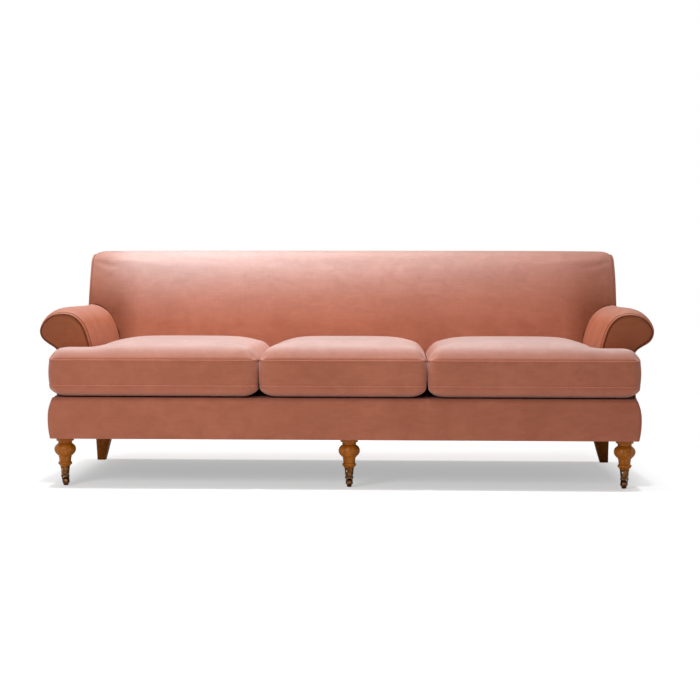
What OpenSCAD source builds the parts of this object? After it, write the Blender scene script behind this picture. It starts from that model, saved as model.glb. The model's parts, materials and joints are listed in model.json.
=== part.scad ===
// Lawson sofa with rolled arms, a tight raked back and three loose seat cushions.
// Millimetres. X runs along the seat, Y from the front to the back, Z up.
// The origin lies on the floor under the middle of the whole sofa.

/* [Overall] */
// Width of the base and of the back
body_w = 2052; // [1940:1:2260]
// Depth from the cushion fronts to the top of the outside back
sofa_d = 930; // [880:1:1000]
// Height of the back above the floor
sofa_h = 843; // [800:1:920]

/* [Base frame] */
// Height of the underside of the base above the floor
base_z = 169; // [150:1:190]
// Height of the upholstered band below the cushions
base_h = 143; // [138:1:160]
// Thickness of the timber rails
rail_t = 25; // [20:1:28]
// Height of the timber rails
rail_h = 120; // [90:1:122]
// Thickness of the padding and cover of the front band
band_t = 15; // [8:1:20]
// Thickness of the covered panels on the outsides of the arms and the back
panel_t = 8; // [5:1:12]
// Thickness of the dust cover under the base
dust_t = 1; // [0.8:0.1:3]
// Distance that the cushions overhang the front band
cushion_overhang = 15; // [5:1:25]
// Side length of the square blocks in the corners of the base
block_w = 80; // [64:1:100]
// Radius of the front band's upper edge
band_r = 14; // [4:1:20]
// Radius of the front band's upright ends
band_end_r = 12; // [4:1:14]

/* [Suspension] */
// Wire diameter of the zigzag springs
spring_wire = 3.6; // [3:0.1:4.5]
// Width of a zigzag spring
spring_w = 50; // [40:1:60]
// Distance between neighbouring bars of a zigzag spring
spring_pitch = 44; // [36:1:60]
// Distance between neighbouring springs
spring_spacing = 160; // [140:1:220]
// Length of the clip that holds a spring to its rail
clip_l = 22; // [16:1:24]
// Sheet thickness of the spring clips
clip_t = 1.5; // [1:0.1:2]
// Width of the webbing straps of the back
strap_w = 50; // [40:1:70]
// Thickness of the webbing straps
strap_t = 2; // [1.5:0.1:3]
// Distance between neighbouring straps of the back
strap_spacing = 150; // [100:1:200]

/* [Seat cushions] */
// Width of the middle cushion
mid_cushion_w = 582; // [540:1:640]
// Distance between a cushion's rear and the face of the back, at the cushion's upper seam
cushion_back_gap = 27; // [14:1:40]
// Height of the lower seam of a cushion above its underside
low_seam_h = 36; // [30:1:44]
// Height of the side band between the two seams of a cushion
side_band_h = 92; // [80:1:105]
// Rise of the cushion top within its edge roll
edge_rise = 50; // [40:1:60]
// Further rise of the cushion top towards its middle
crown_rise = 20; // [10:1:30]
// Width of the edge roll of the cushion top
edge_roll = 62; // [50:1:72]
// Width of the edge roll of the cushion underside
low_roll = 36; // [28:1:44]
// Distance that the side band stands out between its seams
side_bulge = 3; // [1:0.5:5]
// Plan radius of the cushion corners
cushion_r = 34; // [20:1:44]
// Distance between a foam core and the cover round it
core_in = 44; // [40:1:60]

/* [Arms] */
// Width of an arm from its inner wall to the end of the base
arm_w = 119; // [95:1:140]
// Width of an arm roll from the inner wall outwards
roll_w = 177; // [150:1:200]
// Height of the arm roll's crest at its front
arm_h = 601; // [570:1:640]
// Height of the arm roll above its neck
roll_h = 136; // [115:1:155]
// Distance from the cushion fronts to the front of the arms
arm_set = 165; // [150:1:200]
// Angle at which the arms rise to the back
arm_tilt = 2.4; // [0:0.1:4]
// Thickness of the padding over the arm frame
arm_pad_t = 14; // [8:1:20]
// Thickness of the scroll panel on the front of an arm
scroll_t = 12; // [8:1:16]
// Thickness of the board behind the scroll panel
stump_t = 28; // [18:1:40]
// Width of the board under the arm roll
arm_board_w = 60; // [40:1:80]
// Thickness of the board under the arm roll
arm_board_t = 22; // [15:1:30]
// Width of the tack rails inside an arm
tack_w = 35; // [25:1:50]
// Thickness of the tack rails inside an arm
tack_t = 20; // [15:1:25]
// Distance that the scroll panel lies inside the edge of the roll
scroll_in = 5; // [2:0.5:8]

/* [Back] */
// Depth of the back at its top
back_top_d = 118; // [105:1:140]
// Depth from the face of the back, at the upper seams of the cushions, to the outermost rear
back_low_d = 225; // [205:1:245]
// Distance by which the rear of the base lies in front of the top of the outside back
rear_lean = 70; // [40:1:90]
// Depth of the padding in front of the back frame
back_pad_d = 62; // [45:1:75]
// Radius of the back's upper front edge
back_front_r = 55; // [40:1:60]
// Radius of the back's upper rear edge
back_rear_r = 22; // [16:1:26]
// Radius of the outside back's upper corners
back_corner_r = 38; // [25:1:60]
// Height from the top edge of the outside back panel to the top of the back
back_top_h = 35; // [34.5:0.5:50]
// Thickness of the padding over the top rail
top_pad_t = 15; // [10:1:25]
// Width of the boxing panel on the side of the back
boxing_w = 15; // [10:1:20]
// Height of the top rail
top_rail_h = 50; // [40:1:80]
// Depth of the uprights behind the webbing
upright_d = 50; // [40:1:60]
// Distance that the boxing lies inside the outline of the back padding
boxing_in = 4; // [2:0.5:8]
// Distance that the boxing panel's outer face is drawn in round its edge
boxing_draw = 9; // [5:0.5:12]

/* [Front legs] */
// Distance of an outer front leg's middle from the end of the base
front_leg_in = 53; // [51:1:90]
// Distance of the front legs from the cushion fronts
front_leg_set = 65; // [64:1:80]
// Distance of the middle front leg to the right of the middle of the sofa
mid_leg_x = 21.5; // [0:0.5:30]
// Diameter of the ball of a front leg
ball_d = 75; // [60:1:85]
// Length of the turned part above the caster cup
turning_l = 101; // [90:1:115]
// Diameter of the tenon that goes into the caster cup
tenon_d = 23; // [20:1:24]
// Diameter of the hanger bolts
bolt_d = 8; // [6:1:10]
// Length of a hanger bolt in the leg and in the block, each
bolt_l = 36; // [25:1:45]

/* [Rear legs] */
// Distance of a rear foot's outer edge from the end of the base
rear_foot_in = 2; // [0:1:20]
// Width of a rear leg at its top
rear_top_w = 73; // [60:1:80]
// Width of a rear leg at its foot
rear_foot_w = 31; // [26:1:40]
// Depth of a rear leg at its top
rear_top_d = 58; // [50:1:64]
// Depth of a rear leg at its foot
rear_foot_d = 30; // [24:1:40]
// Distance that a rear leg sweeps backwards
rear_sweep = 82; // [70:1:90]

/* [Casters] */
// Diameter of the caster wheels
wheel_d = 30; // [26:1:34]
// Width of the caster wheels
wheel_w = 17; // [14:1:19]
// Diameter of the caster axles
axle_d = 5; // [4:0.5:6]
// Diameter of the swivel stems
stem_d = 8; // [6:0.5:9]
// Distance of the axle behind the swivel axis
trail = 11; // [6:1:14]
// Thickness of the fork cheeks
cheek_t = 2.6; // [2:0.1:3.5]
// Diameter of the cup at its upper edge
cup_d = 32; // [30:0.5:36]
// Diameter of the cup at its lower edge
cup_low_d = 27; // [24:0.5:29]
// Height of the cup
cup_h = 28; // [22:1:32]
// Wall thickness of the cup
cup_t = 1.6; // [1.2:0.1:2]
// Thickness of the fork's crown plate
crown_t = 7; // [5:0.1:7.5]
// Diameter of the fork's crown plate
crown_d = 29; // [26:1:32]

/* [Clearances] */
// Gap between pieces that can be taken apart
gap = 0.3; // [0.2:0.05:0.5]
// Radial running clearance of the stems, axles and bolts
run_gap = 0.05; // [0.03:0.01:0.1]

/* [Hidden] */

velvet = [0.80, 0.50, 0.43];
velvet_dark = [0.60, 0.34, 0.28];
timber = [0.84, 0.70, 0.50];
honey = [0.72, 0.42, 0.14];
walnut = [0.30, 0.16, 0.09];
brass = [0.55, 0.42, 0.24];
steel = [0.62, 0.63, 0.65];
foam = [0.93, 0.90, 0.80];
cambric = [0.12, 0.12, 0.13];

// Overrun of cutting shapes past what they cut
over = 5;
// Reach of a cutting shape that has to pass the whole sofa
reach = sofa_d;
// Segments of a curve between two of its points
curve_steps = 3;
// Segments of a rounded corner
corner_steps = 6;

half_w = body_w / 2;
seat_w = body_w - 2 * arm_w;
arm_span_w = seat_w + 2 * roll_w;
front_y = -sofa_d / 2;
back_y = sofa_d / 2;
band_y = front_y + cushion_overhang;
base_top = base_z + base_h;
timber_z = base_z + dust_t;
timber_top = timber_z + rail_h;
timber_x = half_w - panel_t;
rail_front_y = band_y + band_t;
panel_top = sofa_h - back_top_h;
rear_base_y = back_y - rear_lean;
rail_back_y = rear_base_y - panel_t;

// Height of the cushions' undersides above the top of the front band
cushion_gap_h = 4;
cushion_z = base_top + cushion_gap_h;
low_seam_z = cushion_z + low_seam_h;
top_seam_z = low_seam_z + side_band_h;
deck_top = cushion_z - gap;
cushion_rear_y = back_y - back_low_d - cushion_back_gap;
spring_z = timber_top + clip_t;
deck_z = spring_z + spring_wire + clip_t;

// Planes of the raked back, as the depth at a height
face_slope = (back_low_d - back_top_d) / (sofa_h - top_seam_z);
rear_slope = rear_lean / (panel_top - base_z);
function face_y(z) = back_y - back_low_d + (z - top_seam_z) * face_slope;
function frame_y(z) = face_y(z) + back_pad_d;
function web_y(z) = frame_y(z) + strap_t + 2 * gap;
function rear_y(z) = back_y - (panel_top - z) * rear_slope;
function inner_rear_y(z) = rear_y(z) - panel_t;

arm_x = seat_w / 2;
arm_y = front_y + arm_set;
neck_z = arm_h - roll_h;

// Outline of the arm roll, from the inner wall over the crest to the neck below the roll.
// First the share of the roll's width from the inner wall, then the share of its height.
roll_share = [
    [0, 0.00], [0, 0.18], [0.034, 0.35], [0.102, 0.61], [0.209, 0.82], [0.350, 0.955], [0.545, 1],
    [0.740, 0.956], [0.880, 0.831], [0.970, 0.669], [1, 0.515], [0.950, 0.346], [0.825, 0.213],
    [0.690, 0.096], [0.640, 0]
];

// A smooth line through points, with a number of segments between each two
function spline_point(a, b, c, d, t) =
    0.5 * (2 * b + (c - a) * t + (2 * a - 5 * b + 4 * c - d) * t * t
    + (3 * b - a - 3 * c + d) * t * t * t);
function spline(p, steps) = concat(
    [for (i = [0:len(p) - 2]) for (k = [0:steps - 1])
        spline_point(p[max(i - 1, 0)], p[i], p[i + 1], p[min(i + 2, len(p) - 1)], k / steps)],
    [p[len(p) - 1]]
);

// A polygon's points with each corner rounded by its own radius
function unit(v) = v / norm(v);
function corner_arc(a, b, c, r, steps) =
    r == 0 ? [b] :
    let (
        u = unit(a - b),
        v = unit(c - b),
        half = acos(u * v) / 2,
        reach_in = r / tan(half),
        centre = b + unit(u + v) * r / sin(half),
        from = b + u * reach_in - centre,
        to = b + v * reach_in - centre,
        sweep = 180 - 2 * half,
        turn = (from[0] * to[1] - from[1] * to[0]) > 0 ? 1 : -1
    )
    [for (k = [0:steps])
        let (w = turn * sweep * k / steps)
        centre + [from[0] * cos(w) - from[1] * sin(w), from[0] * sin(w) + from[1] * cos(w)]];
function rounded(p, radii, steps = corner_steps) = [
    for (i = [0:len(p) - 1])
        each corner_arc(p[(i + len(p) - 1) % len(p)], p[i], p[(i + 1) % len(p)], radii[i], steps)
];

// A line of points moved sideways to the right of its direction
function moved_right(p, s) = [
    for (i = [0:len(p) - 1])
        let (d = unit(p[min(i + 1, len(p) - 1)] - p[max(i - 1, 0)]))
        p[i] + s * [d[1], -d[0]]
];
function reversed(p) = [for (i = [len(p) - 1:-1:0]) p[i]];

// The right arm's roll line with its inner wall carried down below the deck
wall_low = base_z;
roll_line = concat(
    [[arm_x, wall_low]],
    spline([for (s = roll_share) [arm_x + s[0] * roll_w, neck_z + s[1] * roll_h]], curve_steps)
);

// Closed region under the roll line, out to a side line below the neck and down to its foot
neck_gap = 2;
function under_roll(line, side_x) =
    let (end_x = line[len(line) - 1][0], shoulder = neck_z - neck_gap)
    concat(line, [[end_x, shoulder], [side_x, shoulder], [side_x, wall_low]]);

module on_side(side) {
    if (side < 0) mirror([1, 0, 0]) children();
    else children();
}

// Extrudes an outline in X and Z from one depth back to another
module along_y(y0, y1) {
    translate([0, y1, 0]) rotate([90, 0, 0]) linear_extrude(height = y1 - y0) children();
}

// Extrudes an outline in Y and Z from one place to another at its right
module along_x(x0, x1) {
    translate([x0, 0, 0]) rotate([90, 0, 90]) linear_extrude(height = x1 - x0) children();
}

// Tilts a shape upwards to the back about the front of the arm's neck
module arm_tilted() {
    translate([0, arm_y, neck_z]) rotate([arm_tilt, 0, 0]) translate([0, -arm_y, -neck_z]) children();
}

module slab(x0, x1, y0, y1, z0, z1) {
    translate([x0, y0, z0]) cube([x1 - x0, y1 - y0, z1 - z0]);
}

// Base frame

front_leg_x = half_w - front_leg_in;
front_leg_y = front_y + front_leg_set;
rear_top_y = rail_back_y - gap - rear_top_d;
rear_bolt_share = 0.42;
rear_bolt_y = rear_top_y + rear_bolt_share * rear_top_d;
rear_bolt_x = timber_x - rear_top_w / 2 - bolt_d;
bolt_places = [
    [-front_leg_x, front_leg_y], [mid_leg_x, front_leg_y], [front_leg_x, front_leg_y],
    [-rear_bolt_x, rear_bolt_y], [rear_bolt_x, rear_bolt_y]
];

module bolt_holes() {
    for (p = bolt_places)
        translate([p[0], p[1], timber_z - bolt_l - over])
            cylinder(d = bolt_d + 2 * run_gap, h = 2 * bolt_l + 2 * over, $fn = 32);
}

module front_rail() {
    color(timber) slab(-timber_x, timber_x, rail_front_y, rail_front_y + rail_t, timber_z, timber_top);
}

module back_rail() {
    color(timber) slab(-timber_x, timber_x, rail_back_y - rail_t, rail_back_y, timber_z, timber_top);
}

module side_rail(side) {
    color(timber) on_side(side)
        slab(timber_x - rail_t, timber_x, rail_front_y + rail_t, rail_back_y - rail_t, timber_z, timber_top);
}

// Stretchers from front to back, under the springs
stretcher_h_share = 0.6;
stretcher_x = body_w / 3;

module cross_rails() {
    color(timber) {
        for (x = [-stretcher_x, stretcher_x])
            slab(x - rail_t / 2, x + rail_t / 2, rail_front_y + rail_t, rail_back_y - rail_t,
                timber_z, timber_z + stretcher_h_share * rail_h);
        slab(mid_leg_x - rail_t / 2, mid_leg_x + rail_t / 2, rail_front_y + rail_t + block_w,
            rail_back_y - rail_t, timber_z, timber_z + stretcher_h_share * rail_h);
    }
}

// Blocks glued into the corners and behind the front rail's middle, bored for the leg bolts
block_h_share = 0.75;

module corner_blocks() {
    block_top = timber_z + block_h_share * rail_h;
    block_x = timber_x - rail_t;
    color(timber) difference() {
        union() {
            for (side = [-1, 1]) on_side(side) {
                slab(block_x - block_w, block_x, rail_front_y + rail_t, rail_front_y + rail_t + block_w,
                    timber_z, block_top);
                slab(block_x - block_w, block_x, rail_back_y - rail_t - block_w, rail_back_y - rail_t,
                    timber_z, block_top);
            }
            slab(mid_leg_x - block_w / 2, mid_leg_x + block_w / 2, rail_front_y + rail_t,
                rail_front_y + rail_t + block_w, timber_z, block_top);
        }
        bolt_holes();
    }
}

// Zigzag springs over the seat, from the front rail to the back rail

spring_y0 = rail_front_y + rail_t / 2;
spring_y1 = rail_back_y - rail_t / 2;
bar_count = 2 * floor((spring_y1 - spring_y0) / spring_pitch / 2) + 1;
bar_pitch = (spring_y1 - spring_y0) / (bar_count - 1);
spring_count = 2 * floor((seat_w - 2 * spring_w) / spring_spacing / 2) + 1;

// Line along the middle of a spring's wire: bars across it, joined by half-round bends
bend_steps = 4;
bend_x = spring_w / 2 - bar_pitch / 2;
zigzag_line = concat(
    [[-bend_x, spring_y0]],
    [for (k = [0:bar_count - 2]) let (way = k % 2 == 0 ? 1 : -1) for (t = [0:bend_steps])
        [way * (bend_x + bar_pitch / 2 * sin(180 * t / bend_steps)),
            spring_y0 + bar_pitch * (k + 0.5 - cos(180 * t / bend_steps) / 2)]],
    [[bar_count % 2 == 1 ? bend_x : -bend_x, spring_y1]]
);

module zigzag() {
    linear_extrude(height = spring_wire) polygon(concat(
        moved_right(zigzag_line, spring_wire / 2),
        reversed(moved_right(zigzag_line, -spring_wire / 2))
    ));
}

module at_springs() {
    for (k = [0:spring_count - 1])
        translate([(k - (spring_count - 1) / 2) * spring_spacing, 0, 0]) children();
}

module seat_springs() {
    color(steel) at_springs() translate([0, 0, spring_z]) zigzag();
}

// Folded clips on the rails, each round the last bar of its spring
clip_w = spring_w / 4;

module spring_clip(y, way) {
    fold = -way * spring_wire;
    tail = way * clip_l / 2;
    translate([0, y, 0]) {
        slab(-clip_w / 2, clip_w / 2, min(tail, fold), max(tail, fold), timber_top, spring_z - run_gap);
        slab(-clip_w / 2, clip_w / 2, min(tail, fold), max(tail, fold),
            spring_z + spring_wire + run_gap, deck_z - run_gap);
        slab(-clip_w / 2, clip_w / 2, min(fold, fold - way * clip_t), max(fold, fold - way * clip_t),
            timber_top, deck_z - run_gap);
    }
}

module spring_clips() {
    color(steel) at_springs() {
        spring_clip(spring_y0, 1);
        spring_clip(spring_y1, -1);
    }
}

// Padded deck under the cushions, with an ear in front of each arm
module deck_pad() {
    inner = arm_x - gap;
    deck_back_y = inner_rear_y(timber_top) - upright_d - gap;
    color(velvet_dark) translate([0, 0, deck_z]) linear_extrude(height = deck_top - deck_z)
        polygon([
            [-timber_x, rail_front_y + rail_t + gap], [timber_x, rail_front_y + rail_t + gap],
            [timber_x, arm_y - gap], [inner, arm_y - gap], [inner, deck_back_y],
            [-inner, deck_back_y], [-inner, arm_y - gap], [-timber_x, arm_y - gap]
        ]);
}

dust_in = 10;

module dust_cover() {
    edge_x = timber_x - dust_in;
    color(cambric) difference() {
        slab(-edge_x, edge_x, rail_front_y + dust_in, rail_back_y - dust_in, base_z, timber_z);
        for (x = [-front_leg_x, mid_leg_x, front_leg_x])
            translate([x, front_leg_y, base_z - over])
                cylinder(r = collar_r + gap, h = dust_t + 2 * over, $fn = 48);
        for (side = [-1, 1]) on_side(side)
            slab(timber_x - rear_top_w - gap, timber_x + over, rear_top_y - gap, rail_back_y + over,
                base_z - over, timber_z + over);
    }
}

// Radius of the band's lower edge over that of its upper edge
band_low_share = 0.25;

module front_band() {
    rail_cover_y = rail_front_y + rail_t;
    lip_z = deck_z + gap;
    lip_x = timber_x - gap;
    color(velvet) intersection() {
        along_x(-half_w, half_w) polygon(rounded(
            [[band_y, base_z], [band_y, base_top], [rail_cover_y, base_top], [rail_cover_y, lip_z],
                [rail_front_y, lip_z], [rail_front_y, base_z]],
            [band_low_share * band_r, band_r, 0, 0, 0, 0]
        ));
        translate([0, 0, base_z - over]) linear_extrude(height = base_h + 2 * over) polygon(rounded(
            [[-half_w, band_y], [half_w, band_y], [half_w, rail_front_y], [lip_x, rail_front_y],
                [lip_x, rail_cover_y], [-lip_x, rail_cover_y], [-lip_x, rail_front_y],
                [-half_w, rail_front_y]],
            [band_end_r, band_end_r, 0, 0, 0, 0, 0, 0]
        ));
    }
}

// Arms

// Region between the arm's front, the deck level and the inside of the outside back
module arm_zone(y0) {
    top = sofa_h;
    along_x(0, arm_span_w) polygon([
        [y0, timber_top], [y0, top], [inner_rear_y(top) - gap, top],
        [inner_rear_y(timber_top) - gap, timber_top]
    ]);
}

// Region of the back frame behind its padding, as wide as the body
module back_zone() {
    top = 2 * sofa_h;
    along_x(-half_w - gap, half_w + gap) polygon([
        [frame_y(0), 0], [frame_y(top), top], [frame_y(top) + reach, top], [frame_y(0) + reach, 0]
    ]);
}

module arm_pad(side) {
    color(velvet) on_side(side) difference() {
        intersection() {
            arm_tilted() along_y(arm_y - arm_set, back_y + over)
                polygon(concat(roll_line, reversed(moved_right(roll_line, arm_pad_t))));
            arm_zone(arm_y + scroll_t);
        }
        back_zone();
    }
}

// Solid prism under the roll line moved inwards by a distance
module arm_core(inset, y0, y1, side_x) {
    arm_tilted() along_y(y0, y1) polygon(under_roll(moved_right(roll_line, inset), side_x));
}

module scroll_panel(side) {
    color(velvet_dark) on_side(side) intersection() {
        arm_core(scroll_in, arm_y - arm_set, arm_y + arm_set, timber_x - gap);
        slab(0, arm_span_w, arm_y, arm_y + scroll_t, timber_top, sofa_h);
    }
}

module arm_stump(side) {
    y0 = arm_y + scroll_t;
    color(timber) on_side(side) intersection() {
        arm_core(arm_pad_t + gap, arm_y - arm_set, arm_y + arm_set, timber_x - gap);
        slab(0, arm_span_w, y0, y0 + stump_t, timber_top, sofa_h);
    }
}

// Region inside an arm between its stump and the back frame
module arm_inside() {
    y0 = arm_y + scroll_t + stump_t;
    along_x(0, arm_span_w) polygon([
        [y0, timber_top], [y0, sofa_h], [web_y(sofa_h) - gap, sofa_h],
        [web_y(timber_top) - gap, timber_top]
    ]);
}

module arm_board(side) {
    board_top = arm_h - 2 * arm_pad_t;
    board_x = arm_x + roll_w / 2;
    color(timber) on_side(side) intersection() {
        arm_tilted() slab(board_x - arm_board_w / 2, board_x + arm_board_w / 2,
            arm_y - arm_set, back_y, board_top - arm_board_t, board_top);
        arm_inside();
    }
}

module arm_tack_rails() {
    inner_x = arm_x + arm_pad_t + gap;
    outer_x = timber_x - gap;
    low_z = deck_top + arm_pad_t;
    color(timber) for (side = [-1, 1]) on_side(side) {
        intersection() {
            arm_tilted() slab(inner_x, inner_x + tack_t, arm_y - arm_set, back_y, low_z, low_z + tack_w);
            arm_inside();
        }
        intersection() {
            arm_tilted() slab(outer_x - tack_t, outer_x, arm_y - arm_set, back_y,
                neck_z - tack_w - tack_t, neck_z - tack_t);
            arm_inside();
        }
    }
}

// Covered panel on the outside of the arm, running forward over the end of the base
module outside_arm(side) {
    rise = tan(arm_tilt);
    rear_top = neck_z - neck_gap + (rear_y(neck_z) - arm_y) * rise;
    color(velvet) on_side(side) along_x(timber_x, half_w) polygon([
        [rail_front_y + gap, base_z], [rail_front_y + gap, base_top], [arm_y, base_top],
        [arm_y, neck_z - neck_gap], [inner_rear_y(rear_top) - gap, rear_top],
        [inner_rear_y(base_z) - gap, base_z]
    ]);
}

// Back

post_x = timber_x - boxing_w + panel_t;

// Region of the back frame between two heights, from the webbing to a depth before the outside back
function frame_outline(z0, z1, front_in, rear_in) = [
    [web_y(z0) + front_in, z0], [web_y(z1) + front_in, z1],
    [inner_rear_y(z1) - rear_in, z1], [inner_rear_y(z0) - rear_in, z0]
];

rail_top_z = sofa_h - top_pad_t;

module back_post(side) {
    color(timber) on_side(side) along_x(post_x - rail_t, post_x)
        polygon(frame_outline(timber_top, rail_top_z - gap, 0, gap));
}

module back_top_rail() {
    inner = post_x - rail_t;
    color(timber) along_x(-inner, inner)
        polygon(frame_outline(rail_top_z - top_rail_h, rail_top_z - gap, 0, gap));
}

module back_tack_rail() {
    inner = post_x - rail_t;
    z0 = cushion_z + tack_t;
    z1 = z0 + tack_w;
    color(timber) along_x(-inner, inner) polygon([
        [web_y(z0), z0], [web_y(z1), z1], [web_y(z1) + rail_t, z1], [web_y(z0) + rail_t, z0]
    ]);
}

// The uprights stand between the ends of the springs
upright_x = 2.5 * spring_spacing;

module back_uprights() {
    z1 = rail_top_z - top_rail_h;
    for (x = [-upright_x, upright_x]) color(timber) along_x(x - rail_t / 2, x + rail_t / 2) polygon([
        [inner_rear_y(timber_top) - upright_d, timber_top], [inner_rear_y(z1) - upright_d, z1],
        [inner_rear_y(z1) - gap, z1], [inner_rear_y(timber_top) - gap, timber_top]
    ]);
}

// Straps over the front of the back frame, from the tack rail to the top rail
strap_count = 2 * floor((seat_w - strap_w) / strap_spacing / 2) + 1;

module back_webbing() {
    z0 = cushion_z + tack_t;
    z1 = rail_top_z - top_rail_h / 3;
    color(cambric) for (k = [0:strap_count - 1]) {
        x = (k - (strap_count - 1) / 2) * strap_spacing;
        along_x(x - strap_w / 2, x + strap_w / 2) polygon([
            [frame_y(z0) + gap, z0], [frame_y(z1) + gap, z1],
            [frame_y(z1) + gap + strap_t, z1], [frame_y(z0) + gap + strap_t, z0]
        ]);
    }
}

// Everything that the arm takes up, grown by the gap, down to below the deck
module arm_envelope() {
    for (side = [-1, 1]) on_side(side)
        arm_core(-gap, arm_y - arm_set, back_y + reach, arm_span_w / 2 + over);
}

// Padding and cover of the inside back, carried over the top rail
module back_pad() {
    pad_x = half_w - boxing_w;
    z0 = deck_top + gap;
    color(velvet) difference() {
        along_x(-pad_x, pad_x) polygon(rounded(
            [[face_y(z0), z0], [face_y(sofa_h), sofa_h], [back_y, sofa_h], [back_y, panel_top + gap],
                [inner_rear_y(panel_top), panel_top + gap], [inner_rear_y(rail_top_z), rail_top_z],
                [frame_y(rail_top_z), rail_top_z], [frame_y(z0), z0]],
            [0, back_front_r, back_rear_r, 0, 0, 0, 0, 0]
        ));
        arm_envelope();
    }
}

// Outline of the boxing, drawn in from the padding's outline
function boxing_outline(inset) = rounded(
    [[face_y(neck_z) + inset, neck_z], [face_y(sofa_h) + inset, sofa_h - inset],
        [inner_rear_y(sofa_h - inset) - gap, sofa_h - inset], [inner_rear_y(neck_z) - gap, neck_z]],
    [0, back_front_r - inset / 2, back_rear_r - inset, 0]
);

module back_boxing(side) {
    x0 = half_w - boxing_w;
    rise = tan(arm_tilt) * (rear_y(neck_z) - arm_y);
    color(velvet) on_side(side) difference() {
        hull() {
            along_x(x0 + gap, half_w - boxing_w / 2) polygon(boxing_outline(boxing_in));
            along_x(half_w - run_gap, half_w) polygon(boxing_outline(boxing_draw));
        }
        arm_core(-gap, arm_y - arm_set, back_y, arm_span_w / 2 + over);
        slab(0, arm_span_w, arm_y, back_y + over, 0, neck_z + rise + roll_h / 2);
    }
}

module outside_back() {
    top = panel_top;
    color(velvet) intersection() {
        along_x(-arm_span_w / 2, arm_span_w / 2) polygon([
            [inner_rear_y(base_z), base_z], [inner_rear_y(top), top],
            [rear_y(top), top], [rear_y(base_z), base_z]
        ]);
        union() {
            along_y(0, back_y + over) polygon(rounded(
                [[-half_w, base_z], [-half_w, top], [half_w, top], [half_w, base_z]],
                [0, back_corner_r, back_corner_r, 0]
            ));
            for (side = [-1, 1]) on_side(side) arm_core(0, 0, back_y + reach, arm_x + roll_w / 2);
        }
    }
}

// Cushions

// Places of the grid lines over a length: close together near both ends, where the edge rolls lie
edge_share = [0, 0.17, 0.36, 0.62, 1];
function grid_places(a, b, mids) = concat(
    [for (s = edge_share) a + s * edge_roll],
    [for (k = [1:mids]) a + edge_roll + (b - a - 2 * edge_roll) * k / (mids + 1)],
    reversed([for (s = edge_share) b - s * edge_roll])
);

// Depth inside a rectangle, from its nearest side
function inside(p, x0, x1, y0, y1) = min(p[0] - x0, x1 - p[0], p[1] - y0, y1 - p[1]);

// Quarter-round rise from zero at the edge to one at the roll's width
function roll_up(d, w) = let (t = min(max(d, 0) / w, 1)) sqrt(1 - (1 - t) * (1 - t));

// A point near a square corner, moved to lie inside the same corner when it is round
function round_in(p, corner, way, r) =
    let (
        v = [(p[0] - corner[0]) * way[0] - r, (p[1] - corner[1]) * way[1] - r]
    )
    v[0] >= 0 || v[1] >= 0 || norm(v) == 0 ? p :
    let (w = v * max(-v[0], -v[1]) / norm(v))
    [corner[0] + way[0] * (w[0] + r), corner[1] + way[1] * (w[1] + r)];

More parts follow.
